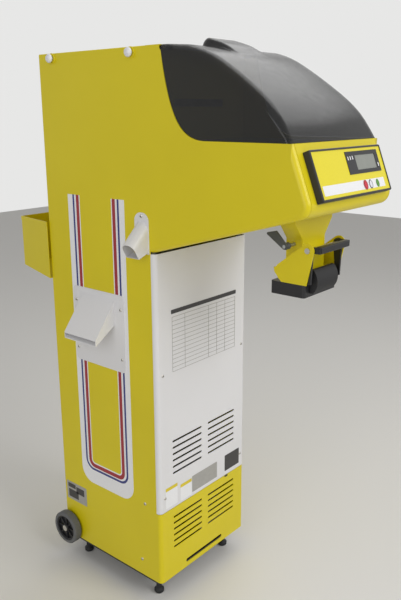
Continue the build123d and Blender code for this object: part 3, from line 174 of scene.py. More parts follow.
# Bright zinc plate on screws, pins and rods, with fine drawing marks
def zincPlate():
    markWidth = 0.8
    material, tree = newMaterial("brightZincPlate")
    where = addNode(tree, "ShaderNodeTexCoord")
    marks = addNode(tree, "ShaderNodeTexNoise", {"Scale": perMetre(markWidth), "Detail": 4.0},
                    {"Vector": where.outputs["Object"]})
    rough = addNode(tree, "ShaderNodeMapRange", {"To Min": 0.22, "To Max": 0.42},
                    {"Value": marks.outputs["Fac"]})
    metal = addNode(tree, "ShaderNodeBsdfPrincipled", {"Base Color": hexColour("#C9C6C0"),
                                                       "Metallic": 1.0},
                    {"Roughness": rough.outputs[0]})
    addNode(tree, "ShaderNodeOutputMaterial", links={"Surface": metal.outputs[0]})
    return material


# Cast iron of the motor, pulleys and bearings: sand-cast grain under grey machine paint
def paintedCasting():
    grainSize = 1.6
    material, tree = newMaterial("paintedCastIron")
    where = addNode(tree, "ShaderNodeTexCoord")
    grain = addNode(tree, "ShaderNodeTexNoise", {"Scale": perMetre(grainSize), "Detail": 6.0},
                    {"Vector": where.outputs["Object"]})
    colour = addNode(tree, "ShaderNodeMix", {"data_type": "RGBA", 6: hexColour("#3A3C3E"),
                                             7: hexColour("#55585A")}, {0: grain.outputs["Fac"]})
    bump = addNode(tree, "ShaderNodeBump", {"Strength": 0.5, "Distance": 0.0006},
                   {"Height": grain.outputs["Fac"]})
    paint = addNode(tree, "ShaderNodeBsdfPrincipled", {"Roughness": 0.55},
                    {"Base Color": colour.outputs[2], "Normal": bump.outputs[0]})
    addNode(tree, "ShaderNodeOutputMaterial", links={"Surface": paint.outputs[0]})
    return material


# Smoked acrylic of the lid, thermoformed: dark grey, clear enough to show the yellow wall behind it
def smokedAcrylic():
    look = {"tint": "#0A0B0D", "cover": 0.70, "wave": 90, "handling": 14}
    material, tree = newMaterial("smokedAcrylicSheet")
    where = addNode(tree, "ShaderNodeTexCoord")
    wave = addNode(tree, "ShaderNodeTexNoise", {"Scale": perMetre(look["wave"]), "Detail": 1.0},
                   {"Vector": where.outputs["Object"]})
    bump = addNode(tree, "ShaderNodeBump", {"Strength": 0.08, "Distance": 0.002},
                   {"Height": wave.outputs["Fac"]})
    smear = addNode(tree, "ShaderNodeTexNoise",
                    {"Scale": perMetre(look["handling"]), "Detail": 6.0},
                    {"Vector": where.outputs["Object"]})
    rough = addNode(tree, "ShaderNodeMapRange", {"From Min": 0.4, "From Max": 0.8, "To Min": 0.14,
                                                 "To Max": 0.24}, {"Value": smear.outputs["Fac"]})
    sheet = addNode(tree, "ShaderNodeBsdfPrincipled",
                    {"Base Color": hexColour(look["tint"]), "IOR": 1.49, "Alpha": look["cover"]},
                    {"Roughness": rough.outputs[0], "Normal": bump.outputs[0]})
    addNode(tree, "ShaderNodeOutputMaterial", links={"Surface": sheet.outputs[0]})
    return material


# Moulded and cast plastics and rubbers: one colour with the fine grain of the mould
def mouldedPolymer(name, look):
    material, tree = newMaterial(name)
    where = addNode(tree, "ShaderNodeTexCoord")
    grain = addNode(tree, "ShaderNodeTexNoise", {"Scale": perMetre(look["grain"]), "Detail": 3.0},
                    {"Vector": where.outputs["Object"]})
    colour = addNode(tree, "ShaderNodeMix", {"data_type": "RGBA", 6: hexColour(look["colour"]),
                                             7: hexColour(look["deep"])}, {0: grain.outputs["Fac"]})
    rough = addNode(tree, "ShaderNodeMapRange", {"To Min": look["roughness"] - 0.05,
                                                 "To Max": look["roughness"] + 0.08},
                    {"Value": grain.outputs["Fac"]})
    bump = addNode(tree, "ShaderNodeBump", {"Strength": look["bump"], "Distance": 0.0003},
                   {"Height": grain.outputs["Fac"]})
    body = addNode(tree, "ShaderNodeBsdfPrincipled", {"IOR": look["ior"]},
                   {"Base Color": colour.outputs[2], "Roughness": rough.outputs[0],
                    "Normal": bump.outputs[0]})
    addNode(tree, "ShaderNodeOutputMaterial", links={"Surface": body.outputs[0]})
    return material


blackAbs = mouldedPolymer("blackMouldedAbs", {  # satin spark-eroded grain
    "colour": "#131316", "deep": "#1D1D21", "grain": 1.2, "roughness": 0.42, "bump": 0.3,
    "ior": 1.53})
whitePom = mouldedPolymer("whiteMouldedAcetal", {  # waxy, slightly blue white of the knobs
    "colour": "#E9E9EE", "deep": "#DADAE2", "grain": 4, "roughness": 0.28, "bump": 0.05,
    "ior": 1.48})


# Printed polyester films, which differ in ink, grain and gloss
def printedFilm(name, colour, deep, grain=5, roughness=0.35, bump=0.03):
    return mouldedPolymer(name, {"colour": colour, "deep": deep, "grain": grain,
                                 "roughness": roughness, "bump": bump, "ior": 1.57})


# the overlay of the display panel
yellowFilm = printedFilm("yellowPrintedPolyester", "#EADB10", "#E2D20C", grain=3, roughness=0.30,
                         bump=0.04)
whiteFilm = printedFilm("whitePrintedPolyester", "#F1F1F2", "#E8E8EA")
redFilm = printedFilm("redPrintedPolyester", "#A3222B", "#981C26")
blueFilm = printedFilm("bluePrintedPolyester", "#27337F", "#222C73")
ochreFilm = printedFilm("ochrePrintedPolyester", "#E0CB1E", "#D6C018")
darkFilm = printedFilm("darkPrintedPolyester", "#2B2A2A", "#383635", grain=7, roughness=0.40)
greyFilm = printedFilm("greyPrintedPolyester", "#A9A7A2", "#9C9A95", grain=7, roughness=0.40)
redAcrylic = mouldedPolymer("redMouldedAcrylic", {
    "colour": "#D3263C", "deep": "#C41F34", "grain": 3, "roughness": 0.25, "bump": 0.03,
    "ior": 1.49})
greenAcrylic = mouldedPolymer("greenMouldedAcrylic", {
    "colour": "#5B9A2E", "deep": "#4F8A27", "grain": 3, "roughness": 0.25, "bump": 0.03,
    "ior": 1.49})
# grey-green pane of the read-out, switched off
liquidCrystal = mouldedPolymer("liquidCrystalPane", {
    "colour": "#8E918A", "deep": "#83867F", "grain": 20, "roughness": 0.18, "bump": 0.0,
    "ior": 1.5})
boardLaminate = mouldedPolymer("greenGlassLaminate", {
    "colour": "#1B5A34", "deep": "#17502D", "grain": 2, "roughness": 0.45, "bump": 0.1,
    "ior": 1.55})
blackRubber = mouldedPolymer("blackMouldedNitrile", {
    "colour": "#101012", "deep": "#1A1A1C", "grain": 1.5, "roughness": 0.65, "bump": 0.4,
    "ior": 1.52})
greyTyre = mouldedPolymer("greyMouldedTyreRubber", {  # dusty grey tread
    "colour": "#57595C", "deep": "#6A6A69", "grain": 5, "roughness": 0.72, "bump": 0.4,
    "ior": 1.52})
galvanised = galvanisedSheet()
zinc = zincPlate()
casting = paintedCasting()
smoked = smokedAcrylic()
print("plastics, films and metals made")

nodeFinish = {
    "column_shell": yellowEnamel, "top_cover": yellowEnamel, "head_shell": yellowEnamel,
    "front_panel": yellowEnamel, "inner_wall": yellowEnamel, "lower_cover": yellowEnamel,
    "receiving_hopper": yellowEnamel, "chute": yellowEnamel, "clamp_yoke": yellowEnamel,
    "front_cover": whiteEnamel, "small_outlet": whiteEnamel, "overflow_spout": whiteEnamel,
    "base_pan": blackEnamel, "bag_frame": blackEnamel, "clamp_lever": blackEnamel,
    "wheel_brackets": blackEnamel, "front_posts": galvanised, "grain_tank": galvanised,
    "tank_rails": galvanised, "feed_duct": galvanised, "drive_brackets": galvanised,
    "auger_tube": galvanised, "grading_screen": galvanised, "screen_housing": galvanised,
    "discharge_head": galvanised, "overflow_duct": galvanised, "gate_flap": galvanised,
    "auger_screw": zinc, "panel_screws": zinc, "hinge_ears": zinc, "hinge_rod": zinc,
    # gate_lever: a yellow sheet lever, given the dark grey of the castings as painted shade
    "yoke_pin": zinc, "wheel_axle": zinc, "load_cell": zinc, "gate_lever": casting,
    "auger_bearings": casting, "auger_pulley": casting, "motor_pulley": casting,
    "drive_motor": casting, "display_case": blackAbs, "window_frame": blackAbs,
    "cable_gland": blackAbs, "left_rim": blackAbs, "right_rim": blackAbs,
    "display_face": yellowFilm, "window_glass": liquidCrystal, "control_board": boardLaminate,
    "stop_button": redAcrylic, "set_button": whitePom, "start_button": greenAcrylic,
    "clamp_jaw": blackRubber, "drive_belt": blackRubber, "front_feet": blackRubber,
    "left_tyre": greyTyre, "right_tyre": greyTyre, "smoke_lid": smoked,
    "knob_left_front": whitePom, "knob_left_rear": whitePom, "knob_right_front": whitePom,
    "knob_right_rear": whitePom,
}
for nodeName, part in frame["nodes"].items():
    part.data.materials.clear()
    part.data.materials.append(nodeFinish[nodeName])
print("parts dressed")


# A bmesh whose place is already in it becomes a piece that rides on a body
def finishPiece(name, bm, material, body):
    bmesh.ops.recalc_face_normals(bm, faces=bm.faces)
    mesh = bpy.data.meshes.new(name)
    bm.to_mesh(mesh)
    bm.free()
    mesh.materials.append(material)
    piece = bpy.data.objects.new(name, mesh)
    bpy.context.collection.objects.link(piece)
    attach(piece, body)
    return piece


def roundShading(piece, degrees=40):
    for face in piece.data.polygons:
        face.use_smooth = True
    piece.data.set_sharp_from_angle(angle=math.radians(degrees))


bodies = frame["record"]["behaviour"]["bodies"]
bodyOf = {node: body for body, nodes in bodies.items() for node in nodes}
# merge in mm; edges under smoothUnder degrees shade round, those over bendOver degrees are rolled
joined = {"merge": 0.02, "smoothUnder": 30, "bendOver": 40, "bendSteps": 2}


# The part's own form with its loose triangles joined, so that its curves shade round
def smoothCopy(nodeName, bend):
    bm = bmesh.new()
    bm.from_mesh(frame["nodes"][nodeName].data)
    bmesh.ops.remove_doubles(bm, verts=bm.verts, dist=joined["merge"] * mm)
    piece = finishPiece(nodeName + "_skin", bm, nodeFinish[nodeName], bodyOf[nodeName])
    roundShading(piece, joined["smoothUnder"])
    if bend:
        edges = piece.modifiers.new("rolledEdges", "BEVEL")
        edges.width = bend * mm
        edges.segments = joined["bendSteps"]
        edges.limit_method = "ANGLE"
        edges.angle_limit = math.radians(joined["bendOver"])
    # large flat faces keep their own normals beside the rounded edges
    flats = piece.modifiers.new("flatFaces", "WEIGHTED_NORMAL")
    flats.keep_sharp = True
    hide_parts(nodeName)


formedParts = [
    # part, slot, radius of its rolled edges in mm
    ("head_shell", "yellow_coat", 0.0), ("front_panel", "yellow_coat", 0.0),
    ("front_cover", "white_coat", 0.0), ("lower_cover", "yellow_coat", 0.0),
    ("overflow_spout", "white_coat", 0.4), ("small_outlet", "white_coat", 0.4),
    ("column_shell", "yellow_coat", 0.0), ("top_cover", "yellow_coat", 0.0),
    ("receiving_hopper", "yellow_coat", 0.5), ("chute", "yellow_coat", 0.5),
    ("clamp_yoke", "yellow_coat", 0.6), ("bag_frame", "steel_black", 0.8),
    ("clamp_lever", "steel_black", 0.6), ("clamp_jaw", "pad_rubber", 0.0),
    ("gate_lever", "steel_bare", 0.5), ("display_case", "black_plastic", 0.5),
    ("left_tyre", "tyre_rubber", 0.0), ("right_tyre", "tyre_rubber", 0.0),
    ("left_rim", "rim_plastic", 0.6), ("right_rim", "rim_plastic", 0.6),
    ("front_feet", "pad_rubber", 0.0), ("yoke_pin", "zinc", 0.4),
    ("cable_gland", "black_plastic", 0.5),
]
for part, slot, bend in formedParts:
    smoothCopy(part, bend)
print("formed parts smoothed")


def vertsOf(geometry):
    return [g for g in geometry if isinstance(g, bmesh.types.BMVert)]


# Wires to bridge into skins: wireStep draws an edge from a point, wireTurn an arc round a centre
def wireStep(bm, vert, offset, edges):
    made = bmesh.ops.extrude_vert_indiv(bm, verts=[vert])
    bmesh.ops.translate(bm, verts=made["verts"], vec=offset)
    edges.extend(made["edges"])
    return made["verts"][0]


def wireTurn(bm, vert, centre, axis, angle, steps, edges):
    before = set(bm.edges)
    made = bmesh.ops.spin(bm, geom=[vert], cent=centre, axis=axis, angle=angle, steps=steps,
                          use_duplicate=False)
    edges.extend(e for e in bm.edges if e not in before)
    return vertsOf(made["geom_last"])[0]


# Straight line between the two stops that enclose a value
def between(stops, value):
    return next(a + (b - a) * (value - near) / (far - near)
                for (near, a), (far, b) in zip(stops, stops[1:])
                if min(near, far) <= value <= max(near, far))


# Smoked lid: ribs that fan round a line at the belt, bridged into one skin, with a formed scoop
lid = {
    "pivotY": -120, "pivotZ": 1273, "halfWidth": 185.2, "wall": 3.0, "sideSteps": 12,
    "cornerSteps": 8, "leastSide": 0.5,
    # (y, height) along the crest, and (y, radius) of the rounded corner beside it
    "crest": [(-30, 1480), (-46, 1480), (-84, 1478.7), (-122, 1475), (-170, 1458.5), (-217, 1433),
              (-270, 1399), (-322, 1361), (-356, 1328), (-379, 1296), (-392, 1274.7)],
    "corner": [(-30, 7), (-46, 7), (-60, 7), (-84, 18), (-122, 26), (-170, 29), (-217, 30),
               (-270, 28), (-322, 24), (-356, 19), (-379, 15), (-392, 12)],
    # y of each rib on the crest, and x of the points across the top, the outer two as shares
    "ribs": [-46, -51, -56, -57.5, -59, -61, -63.5, -67, -72, -79, -88, -98, -110, -122, -134,
             -146, -156, -166, -178, -192, -206, -220, -236, -252, -270, -287, -305, -322, -334,
             -345, -356, -366, -375, -382, -387, -392],
    "outer": [0.9933, 0.9596], "across": [140, 115, 90, 70, 60, 57, 56, 54.5, 52, 47, 38, 25, 12],
    # lower edge: level over the belt, then up the window's curve, given by four (y, z)
    "rimRise": 2, "windowSteps": 60,
    "window": ((-174, 1275), (-100, 1275), (-68, 1325), (-44, 1480)),
    # scoop: its lift along y, and the share of that across x
    "scoop": [(-55, 0), (-57.5, 4), (-59, 9), (-61, 13.5), (-63.5, 17), (-67, 20), (-72, 21.5),
              (-79, 20), (-154, 2), (-160, 0)],
    "shoulder": [(0, 1.0), (47, 1.0), (52, 0.96), (54.5, 0.85), (56, 0.6), (57, 0.25), (60, 0.0)],
    "scoopOver": 1440,
    # notches that the hinge ears pass through, and the bosses on the hinge rod
    "notch": (170, 178), "notchBack": -57.5,
    "bossRadius": 4.5, "bossLength": 10, "bossAround": 28, "bossAt": (159, -48.5, 1474.5),
}


# Height, or corner radius, at y: smooth through the stops
def lidCurve(stops, y):
    at = next(i for i, (ahead, value) in enumerate(stops[1:]) if ahead <= y)
    (ya, a), (yb, b) = stops[at], stops[at + 1]
    before = stops[max(at - 1, 0)]
    after = stops[min(at + 2, len(stops) - 1)]
    slopeA = (b - before[1]) / (yb - before[0])
    slopeB = (after[1] - a) / (after[0] - ya)
    span = yb - ya
    t = (y - ya) / span
    return ((2 * t ** 3 - 3 * t ** 2 + 1) * a + (t ** 3 - 2 * t ** 2 + t) * span * slopeA
            + (3 * t ** 2 - 2 * t ** 3) * b + (t ** 3 - t ** 2) * span * slopeB)


# Angle and distance of a point from the line that the ribs fan round
def lidFan(y, z):
    rise, run = z - lid["pivotZ"], lid["pivotY"] - y
    return math.atan2(rise, run), math.hypot(rise, run)


windowLine = []
for i in range(lid["windowSteps"] + 1):
    t = i / lid["windowSteps"]
    weights = ((1 - t) ** 3, 3 * (1 - t) ** 2 * t, 3 * (1 - t) * t * t, t ** 3)
    windowLine.append(tuple(sum(w * point[axis] for w, point in zip(weights, lid["window"]))
                            for axis in (0, 1)))
windowFan = [lidFan(y, z) for y, z in windowLine]


# How far out along a rib the lid's lower edge lies
def lidSill(angle):
    if angle <= windowFan[0][0]:
        return lid["rimRise"] / math.sin(angle)
    return between(windowFan, angle) if angle < windowFan[-1][0] else windowFan[-1][1]


# One rib: up the left side, round the corner, across the top and down the right side
def lidRib(bm, y):
    angle, reach = lidFan(y, lidCurve(lid["crest"], y))
    radius = lidCurve(lid["corner"], y)
    outward = Vector((0, -math.cos(angle), math.sin(angle)))
    axis = Vector((1, 0, 0)).cross(outward)
    low = min(lidSill(angle), reach - radius - lid["leastSide"])
    rise = outward * (reach - radius - low) / lid["sideSteps"] * mm
    base = place(-lid["halfWidth"], lid["pivotY"], lid["pivotZ"])
    vert = bm.verts.new(base + outward * low * mm)
    edges = []
    for i in range(lid["sideSteps"]):
        vert = wireStep(bm, vert, rise, edges)
    vert = wireTurn(bm, vert, vert.co + Vector((radius * mm, 0, 0)), axis, -math.pi / 2,
                    lid["cornerSteps"], edges)
    flat = lid["halfWidth"] - radius
    half = [flat * share for share in lid["outer"]] + lid["across"]
    stops = [-flat] + [-x for x in half] + [0] + half[::-1] + [flat]
    for near, far in zip(stops, stops[1:]):
        vert = wireStep(bm, vert, Vector(((far - near) * mm, 0, 0)), edges)
    vert = wireTurn(bm, vert, vert.co - outward * radius * mm, axis, -math.pi / 2,
                    lid["cornerSteps"], edges)
    for i in range(lid["sideSteps"]):
        vert = wireStep(bm, vert, -rise, edges)
    return edges


# Cheeks fill the sides between the rearmost rib and the window's curved edge
def lidCheeks(bm):
    rearY = lid["ribs"][0]
    angle, reach = lidFan(rearY, lidCurve(lid["crest"], rearY))
    low, high = lidSill(angle), reach - lidCurve(lid["corner"], rearY)
    highZ = lid["pivotZ"] + math.sin(angle) * high
    first = next(i for i, (turned, far) in enumerate(windowFan) if turned >= angle)
    last = next(i for i, (y, z) in enumerate(windowLine) if z > highZ) - 1
    straight, curved = [], []
    for i in range(lid["sideSteps"] + 1):
        far = low + (high - low) * i / lid["sideSteps"]
        straight.append((lid["pivotY"] - math.cos(angle) * far,
                         lid["pivotZ"] + math.sin(angle) * far))
        at = first + (last - first) * i / lid["sideSteps"]
        (ya, za), (yb, zb) = windowLine[int(at)], windowLine[min(int(at) + 1, lid["windowSteps"])]
        curved.append((ya + (yb - ya) * (at % 1), za + (zb - za) * (at % 1)))
    for side in (-1, 1):
        edges = []
        for chain in (straight, curved):
            points = [place(side * lid["halfWidth"], y, z) for y, z in chain]
            vert = bm.verts.new(points[0])
            for here, there in zip(points, points[1:]):
                vert = wireStep(bm, vert, there - here, edges)
        bmesh.ops.bridge_loops(bm, edges=edges)


# The scoop lifts the middle of the skin
def lidScoop(bm):
    rear, front = lid["scoop"][0][0], lid["scoop"][-1][0]
    for vert in bm.verts:
        spot = toMachine(vert.co)
        across = abs(spot.x)
        if across < lid["shoulder"][-1][0] and front < spot.y < rear and spot.z > lid["scoopOver"]:
            vert.co.z += between(lid["scoop"], spot.y) * between(lid["shoulder"], across) * mm


def lidNotches(bm):
    near, far = lid["notch"]
    spots = [(face, toMachine(face.calc_center_median())) for face in bm.faces]
    notched = [face for face, spot in spots
               if spot.y > lid["notchBack"] and near < abs(spot.x) < far]
    bmesh.ops.delete(bm, geom=notched, context="FACES")


def smokedLid():
    bm = bmesh.new()
    ribs = [lidRib(bm, y) for y in lid["ribs"]]
    for near, far in zip(ribs, ribs[1:]):
        bmesh.ops.bridge_loops(bm, edges=near + far)
    lidCheeks(bm)
    bmesh.ops.remove_doubles(bm, verts=bm.verts, dist=0.03 * mm)
    lidScoop(bm)
    lidNotches(bm)
    bmesh.ops.recalc_face_normals(bm, faces=bm.faces)
    bmesh.ops.solidify(bm, geom=list(bm.faces), thickness=lid["wall"] * mm)
    x, y, z = lid["bossAt"]
    for side in (-1, 1):
        boss = bmesh.ops.create_cone(bm, cap_ends=True, segments=lid["bossAround"],
                                     radius1=lid["bossRadius"] * mm, radius2=lid["bossRadius"] * mm,
                                     depth=lid["bossLength"] * mm)
        bmesh.ops.rotate(bm, verts=boss["verts"], matrix=Matrix.Rotation(math.pi / 2, 3, "Y"))
        bmesh.ops.translate(bm, verts=boss["verts"], vec=place(side * x, y, z))
    piece = finishPiece("lid_skin", bm, smoked, "lid")
    roundShading(piece)
    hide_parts("smoke_lid")


smokedLid()
print("lid formed")

# Printed stripes on the left side: a wide white U with a blue and a red line in it
leftFace = -halfColumn
stripes = {
    "centreY": 194, "top": 1127, "cornerSteps": 14, "film": 0.15,
    # name, lift off the sheet, (half width, bottom, corner radius) outside and inside, material
    "bands": [("stripe_white", 0.18, (107.5, 286, 45), (60, 355.5, 11), whiteFilm),
              ("stripe_blue", 0.36, (88, 330, 32), (81.5, 336.5, 26), blueFilm),
              ("stripe_red", 0.36, (74.5, 340, 24), (63.5, 351.5, 14), redFilm)],
}


# One open line of a U: down the back, round, across, round, and up the front
def bandLine(bm, x, half, bottom, radius):
    rearY, frontY = stripes["centreY"] + half, stripes["centreY"] - half
    top, centreZ = stripes["top"], bottom + radius
    edges = []

    def step(vert, y, z):
        return wireStep(bm, vert, Vector((0, y, z)) * mm, edges)

    def turn(vert, y):
        return wireTurn(bm, vert, place(x, y, centreZ), (1, 0, 0), -math.pi / 2,
                        stripes["cornerSteps"], edges)

    vert = step(bm.verts.new(place(x, rearY, top)), 0, centreZ - top)
    vert = turn(vert, rearY - radius)
    vert = step(vert, -2 * (half - radius), 0)
    vert = turn(vert, frontY + radius)
    step(vert, 0, top - centreZ)
    return edges


for name, lift, outer, inner, film in stripes["bands"]:
    bm = bmesh.new()
    edges = bandLine(bm, leftFace - lift, *outer) + bandLine(bm, leftFace - lift, *inner)
    bmesh.ops.bridge_loops(bm, edges=edges)
    bmesh.ops.recalc_face_normals(bm, faces=bm.faces)
    # the faces look away from the sheet, and the film's thickness goes toward it
    if sum(face.normal.x for face in bm.faces) > 0:
        bmesh.ops.reverse_faces(bm, faces=bm.faces)
    bmesh.ops.solidify(bm, geom=list(bm.faces), thickness=stripes["film"] * mm)
    finishPiece(name, bm, film, "machine")
print("stripes laid")


# Matrix that lays a plate's x along across and its y along up, with its origin at a place
def facing(origin, across, up):
    across, up = Vector(across).normalized(), Vector(up).normalized()
    matrix = Matrix((across, up, across.cross(up))).transposed().to_4x4()
    matrix.translation = origin
    return matrix


# A thin plate with rounded corners, drawn in its own plane and then set in its place
def flatPlate(name, width, height, corner, thick, material, seat):
    bm = bmesh.new()
    bmesh.ops.create_grid(bm, x_segments=1, y_segments=1, size=0.5)
    bmesh.ops.scale(bm, verts=bm.verts, vec=(width * mm, height * mm, 1))
    bmesh.ops.bevel(bm, geom=list(bm.verts), offset=corner * mm, segments=5, profile=0.5,
                    affect="VERTICES", material=-1)
    bmesh.ops.solidify(bm, geom=list(bm.faces), thickness=-thick * mm)
    bmesh.ops.transform(bm, matrix=seat, verts=bm.verts)
    finishPiece(name, bm, material, "machine")


# Labels: each is a bare film, with at most a plain coloured band
coverFace = toMachine(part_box("front_cover")[0]).y  # its outer face is the lowest y


def onCover(x, z, lift):
    return facing(place(x, coverFace - lift, z), (1, 0, 0), (0, 0, 1))


def onLeftSide(y, z, lift):
    return facing(place(leftFace - lift, y, z), (0, -1, 0), (0, 0, 1))


labels = [
    # where, name, x or y, z, lift, width, height, corner, thickness, material
    (onCover, "label_small_a", -140, 326, 0.2, 47, 60, 2, 0.15, whiteFilm),
    (onCover, "label_small_b", -81, 319, 0.2, 47, 50, 2, 0.15, whiteFilm),
    (onCover, "label_long", 0.5, 323.5, 0.2, 111, 50, 2, 0.15, greyFilm),
    (onCover, "label_dark", 127, 326, 0.2, 69, 51, 2, 0.15, darkFilm),
    (onCover, "table_head", 3.5, 846, 0.2, 270, 11, 2, 0.15, darkFilm),
    (onCover, "label_band_a", -140, 352, 0.4, 47, 9.5, 1.5, 0.12, ochreFilm),
    (onCover, "label_band_b", -81, 339.5, 0.4, 47, 9.5, 1.5, 0.12, ochreFilm),
    # a thin black plate at the notch in the yellow cover's top edge: painted shade of the notch
    (onCover, "notch_shade_plate", 99, 283.5, 0.4, 13, 5, 1.5, 0.8, blackAbs),
    (onLeftSide, "side_sticker", 335, 222, 0.2, 90, 60, 3, 0.15, greyFilm),
    (onLeftSide, "sticker_patch_a", 357, 239, 0.4, 34, 14, 1.5, 0.12, darkFilm),
    (onLeftSide, "sticker_patch_b", 319, 231, 0.4, 36, 22, 1.5, 0.12, darkFilm),
    (onLeftSide, "sticker_patch_c", 350, 213, 0.4, 44, 26, 1.5, 0.12, darkFilm),
]
for where, name, along, z, lift, width, height, corner, thick, material in labels:
    flatPlate(name, width, height, corner, thick, material, where(along, z, lift))
print("labels laid")


# Rules of the table label: rows and columns of thin grey lines, with nothing between them
def ruledTable():
    table = {"x": 3.5, "z": 758.0, "width": 263, "height": 148, "rows": 13, "line": 1.2,
             "film": 0.12, "lift": 0.45, "columns": (-128, -79, 18, 53, 89, 134.5)}
    bm = bmesh.new()

    def bar(x, z, width, height):
        made = bmesh.ops.create_grid(bm, x_segments=1, y_segments=1, size=0.5)
        bmesh.ops.scale(bm, verts=made["verts"], vec=(width * mm, height * mm, 1))
        bmesh.ops.transform(bm, verts=made["verts"], matrix=onCover(x, z, table["lift"]))

    for row in range(table["rows"] + 1):
        z = table["z"] - table["height"] / 2 + table["height"] * row / table["rows"]
        bar(table["x"], z, table["width"], table["line"])
    for x in table["columns"]:
        bar(x, table["z"], table["line"], table["height"])
    bmesh.ops.solidify(bm, geom=list(bm.faces), thickness=table["film"] * mm)
    finishPiece("table_rules", bm, greyFilm, "machine")


ruledTable()

# Display: a white strip under the keys, printed marks, and painted shade in the panel's seams
panel = {"beltY": -393, "beltZ": 1273, "lean": math.radians(21.3), "film": 0.12}
panelUp = Vector((0, math.sin(panel["lean"]), math.cos(panel["lean"])))
panelOut = Vector((0, -math.cos(panel["lean"]), math.sin(panel["lean"])))


# On the sloping panel: across from the middle, down from the belt, lift off the sheet
def onPanel(across, down, lift):
    start = place(across, panel["beltY"], panel["beltZ"])
    return facing(start + (panelOut * lift - panelUp * down) * mm, (1, 0, 0), panelUp)


displayMarks = [
    # name, across, down, lift, width, height, corner
    ("key_strip", -5, 105, 14.6, 270, 21, 1.5),
    ("tick_a", -8, 44, 15.8, 3.5, 8, 1.0),
    ("tick_b", 2, 43.5, 15.8, 3.5, 8, 1.0),
    ("tick_c", 12, 43, 15.8, 3.5, 8, 1.0),
    ("tick_d", 122, 64, 15.8, 4, 9, 1.8),
]
for name, across, down, lift, width, height, corner in displayMarks:
    flatPlate(name, width, height, corner, panel["film"], whiteFilm, onPanel(across, down, lift))

keyRings = {
    "down": 106, "lift": 15.1, "around": 40, "film": 0.12,
    # name, across, half width, half height, share of it that is open, material
    "rings": [("stop_ring", 39, 9.6, 11.2, 0.62, redFilm),
              ("set_ring", 63, 8.2, 10.4, 0.74, darkFilm),
              ("start_ring", 96, 7.2, 9.4, 0.84, greenAcrylic)],
}
for name, across, halfAcross, halfDown, hole, material in keyRings["rings"]:
    bm = bmesh.new()
    bmesh.ops.create_circle(bm, cap_ends=True, segments=keyRings["around"], radius=1)
    bmesh.ops.inset_region(bm, faces=list(bm.faces), thickness=1 - hole, use_boundary=True)
    bmesh.ops.delete(bm, geom=[f for f in bm.faces if len(f.verts) > 4], context="FACES")
    bmesh.ops.scale(bm, verts=bm.verts, vec=(halfAcross * mm, halfDown * mm, 1))
    bmesh.ops.transform(bm, verts=bm.verts,
                        matrix=onPanel(across, keyRings["down"], keyRings["lift"]))
    bmesh.ops.solidify(bm, geom=list(bm.faces), thickness=keyRings["film"] * mm)
    finishPiece(name, bm, material, "machine")


# Black strips as painted shade in the front panel's side seams: down the slope and round the roll
def panelSeamShade():
    seam = {"at": 173.6, "below": 1.0, "width": 1.3, "sunk": 0.3, "deep": 1.2, "length": 113.0,
            "roll": 30.0, "turn": math.radians(95.3), "turnSteps": 14,
            "tail": 12.0, "tailFall": math.radians(16)}
    tail = Vector((0, math.cos(seam["tailFall"]), -math.sin(seam["tailFall"]))) * seam["tail"]
    bm = bmesh.new()
    for side in (-1, 1):
        start = place(side * seam["at"] - seam["width"] / 2, panel["beltY"],
                      panel["beltZ"] - seam["below"])
        vert = bm.verts.new(start - panelOut * seam["sunk"] * mm)
        edges = []
        vert = wireStep(bm, vert, -panelUp * seam["length"] * mm, edges)
        centre = vert.co - panelOut * (seam["roll"] - seam["sunk"]) * mm
        vert = wireTurn(bm, vert, centre, (1, 0, 0), seam["turn"], seam["turnSteps"], edges)
        wireStep(bm, vert, tail * mm, edges)
        made = bmesh.ops.extrude_edge_only(bm, edges=edges)
        bmesh.ops.translate(bm, verts=vertsOf(made["geom"]), vec=(seam["width"] * mm, 0, 0))
    bmesh.ops.recalc_face_normals(bm, faces=bm.faces)
    bmesh.ops.solidify(bm, geom=list(bm.faces), thickness=seam["deep"] * mm)
    roundShading(finishPiece("panel_seam_shade", bm, blackRubber, "machine"))


panelSeamShade()
print("display dressed")


# A profile of (radius, height) in mm, turned round its z axis and set in its place
def turnedForm(bm, profile, around, seat, closed=False):
    before = set(bm.verts)
    verts = [bm.verts.new((r * mm, 0, z * mm)) for r, z in profile]
    ends = verts[1:] + verts[:1] if closed else verts[1:]
    edges = [bm.edges.new(pair) for pair in zip(verts, ends)]
    bmesh.ops.spin(bm, geom=verts + edges, cent=(0, 0, 0), axis=(0, 0, 1), angle=2 * math.pi,
                   steps=around, use_merge=True)
    fresh = [vert for vert in bm.verts if vert not in before]
    bmesh.ops.transform(bm, matrix=seat, verts=fresh)
    bmesh.ops.remove_doubles(bm, verts=fresh, dist=0.01 * mm)
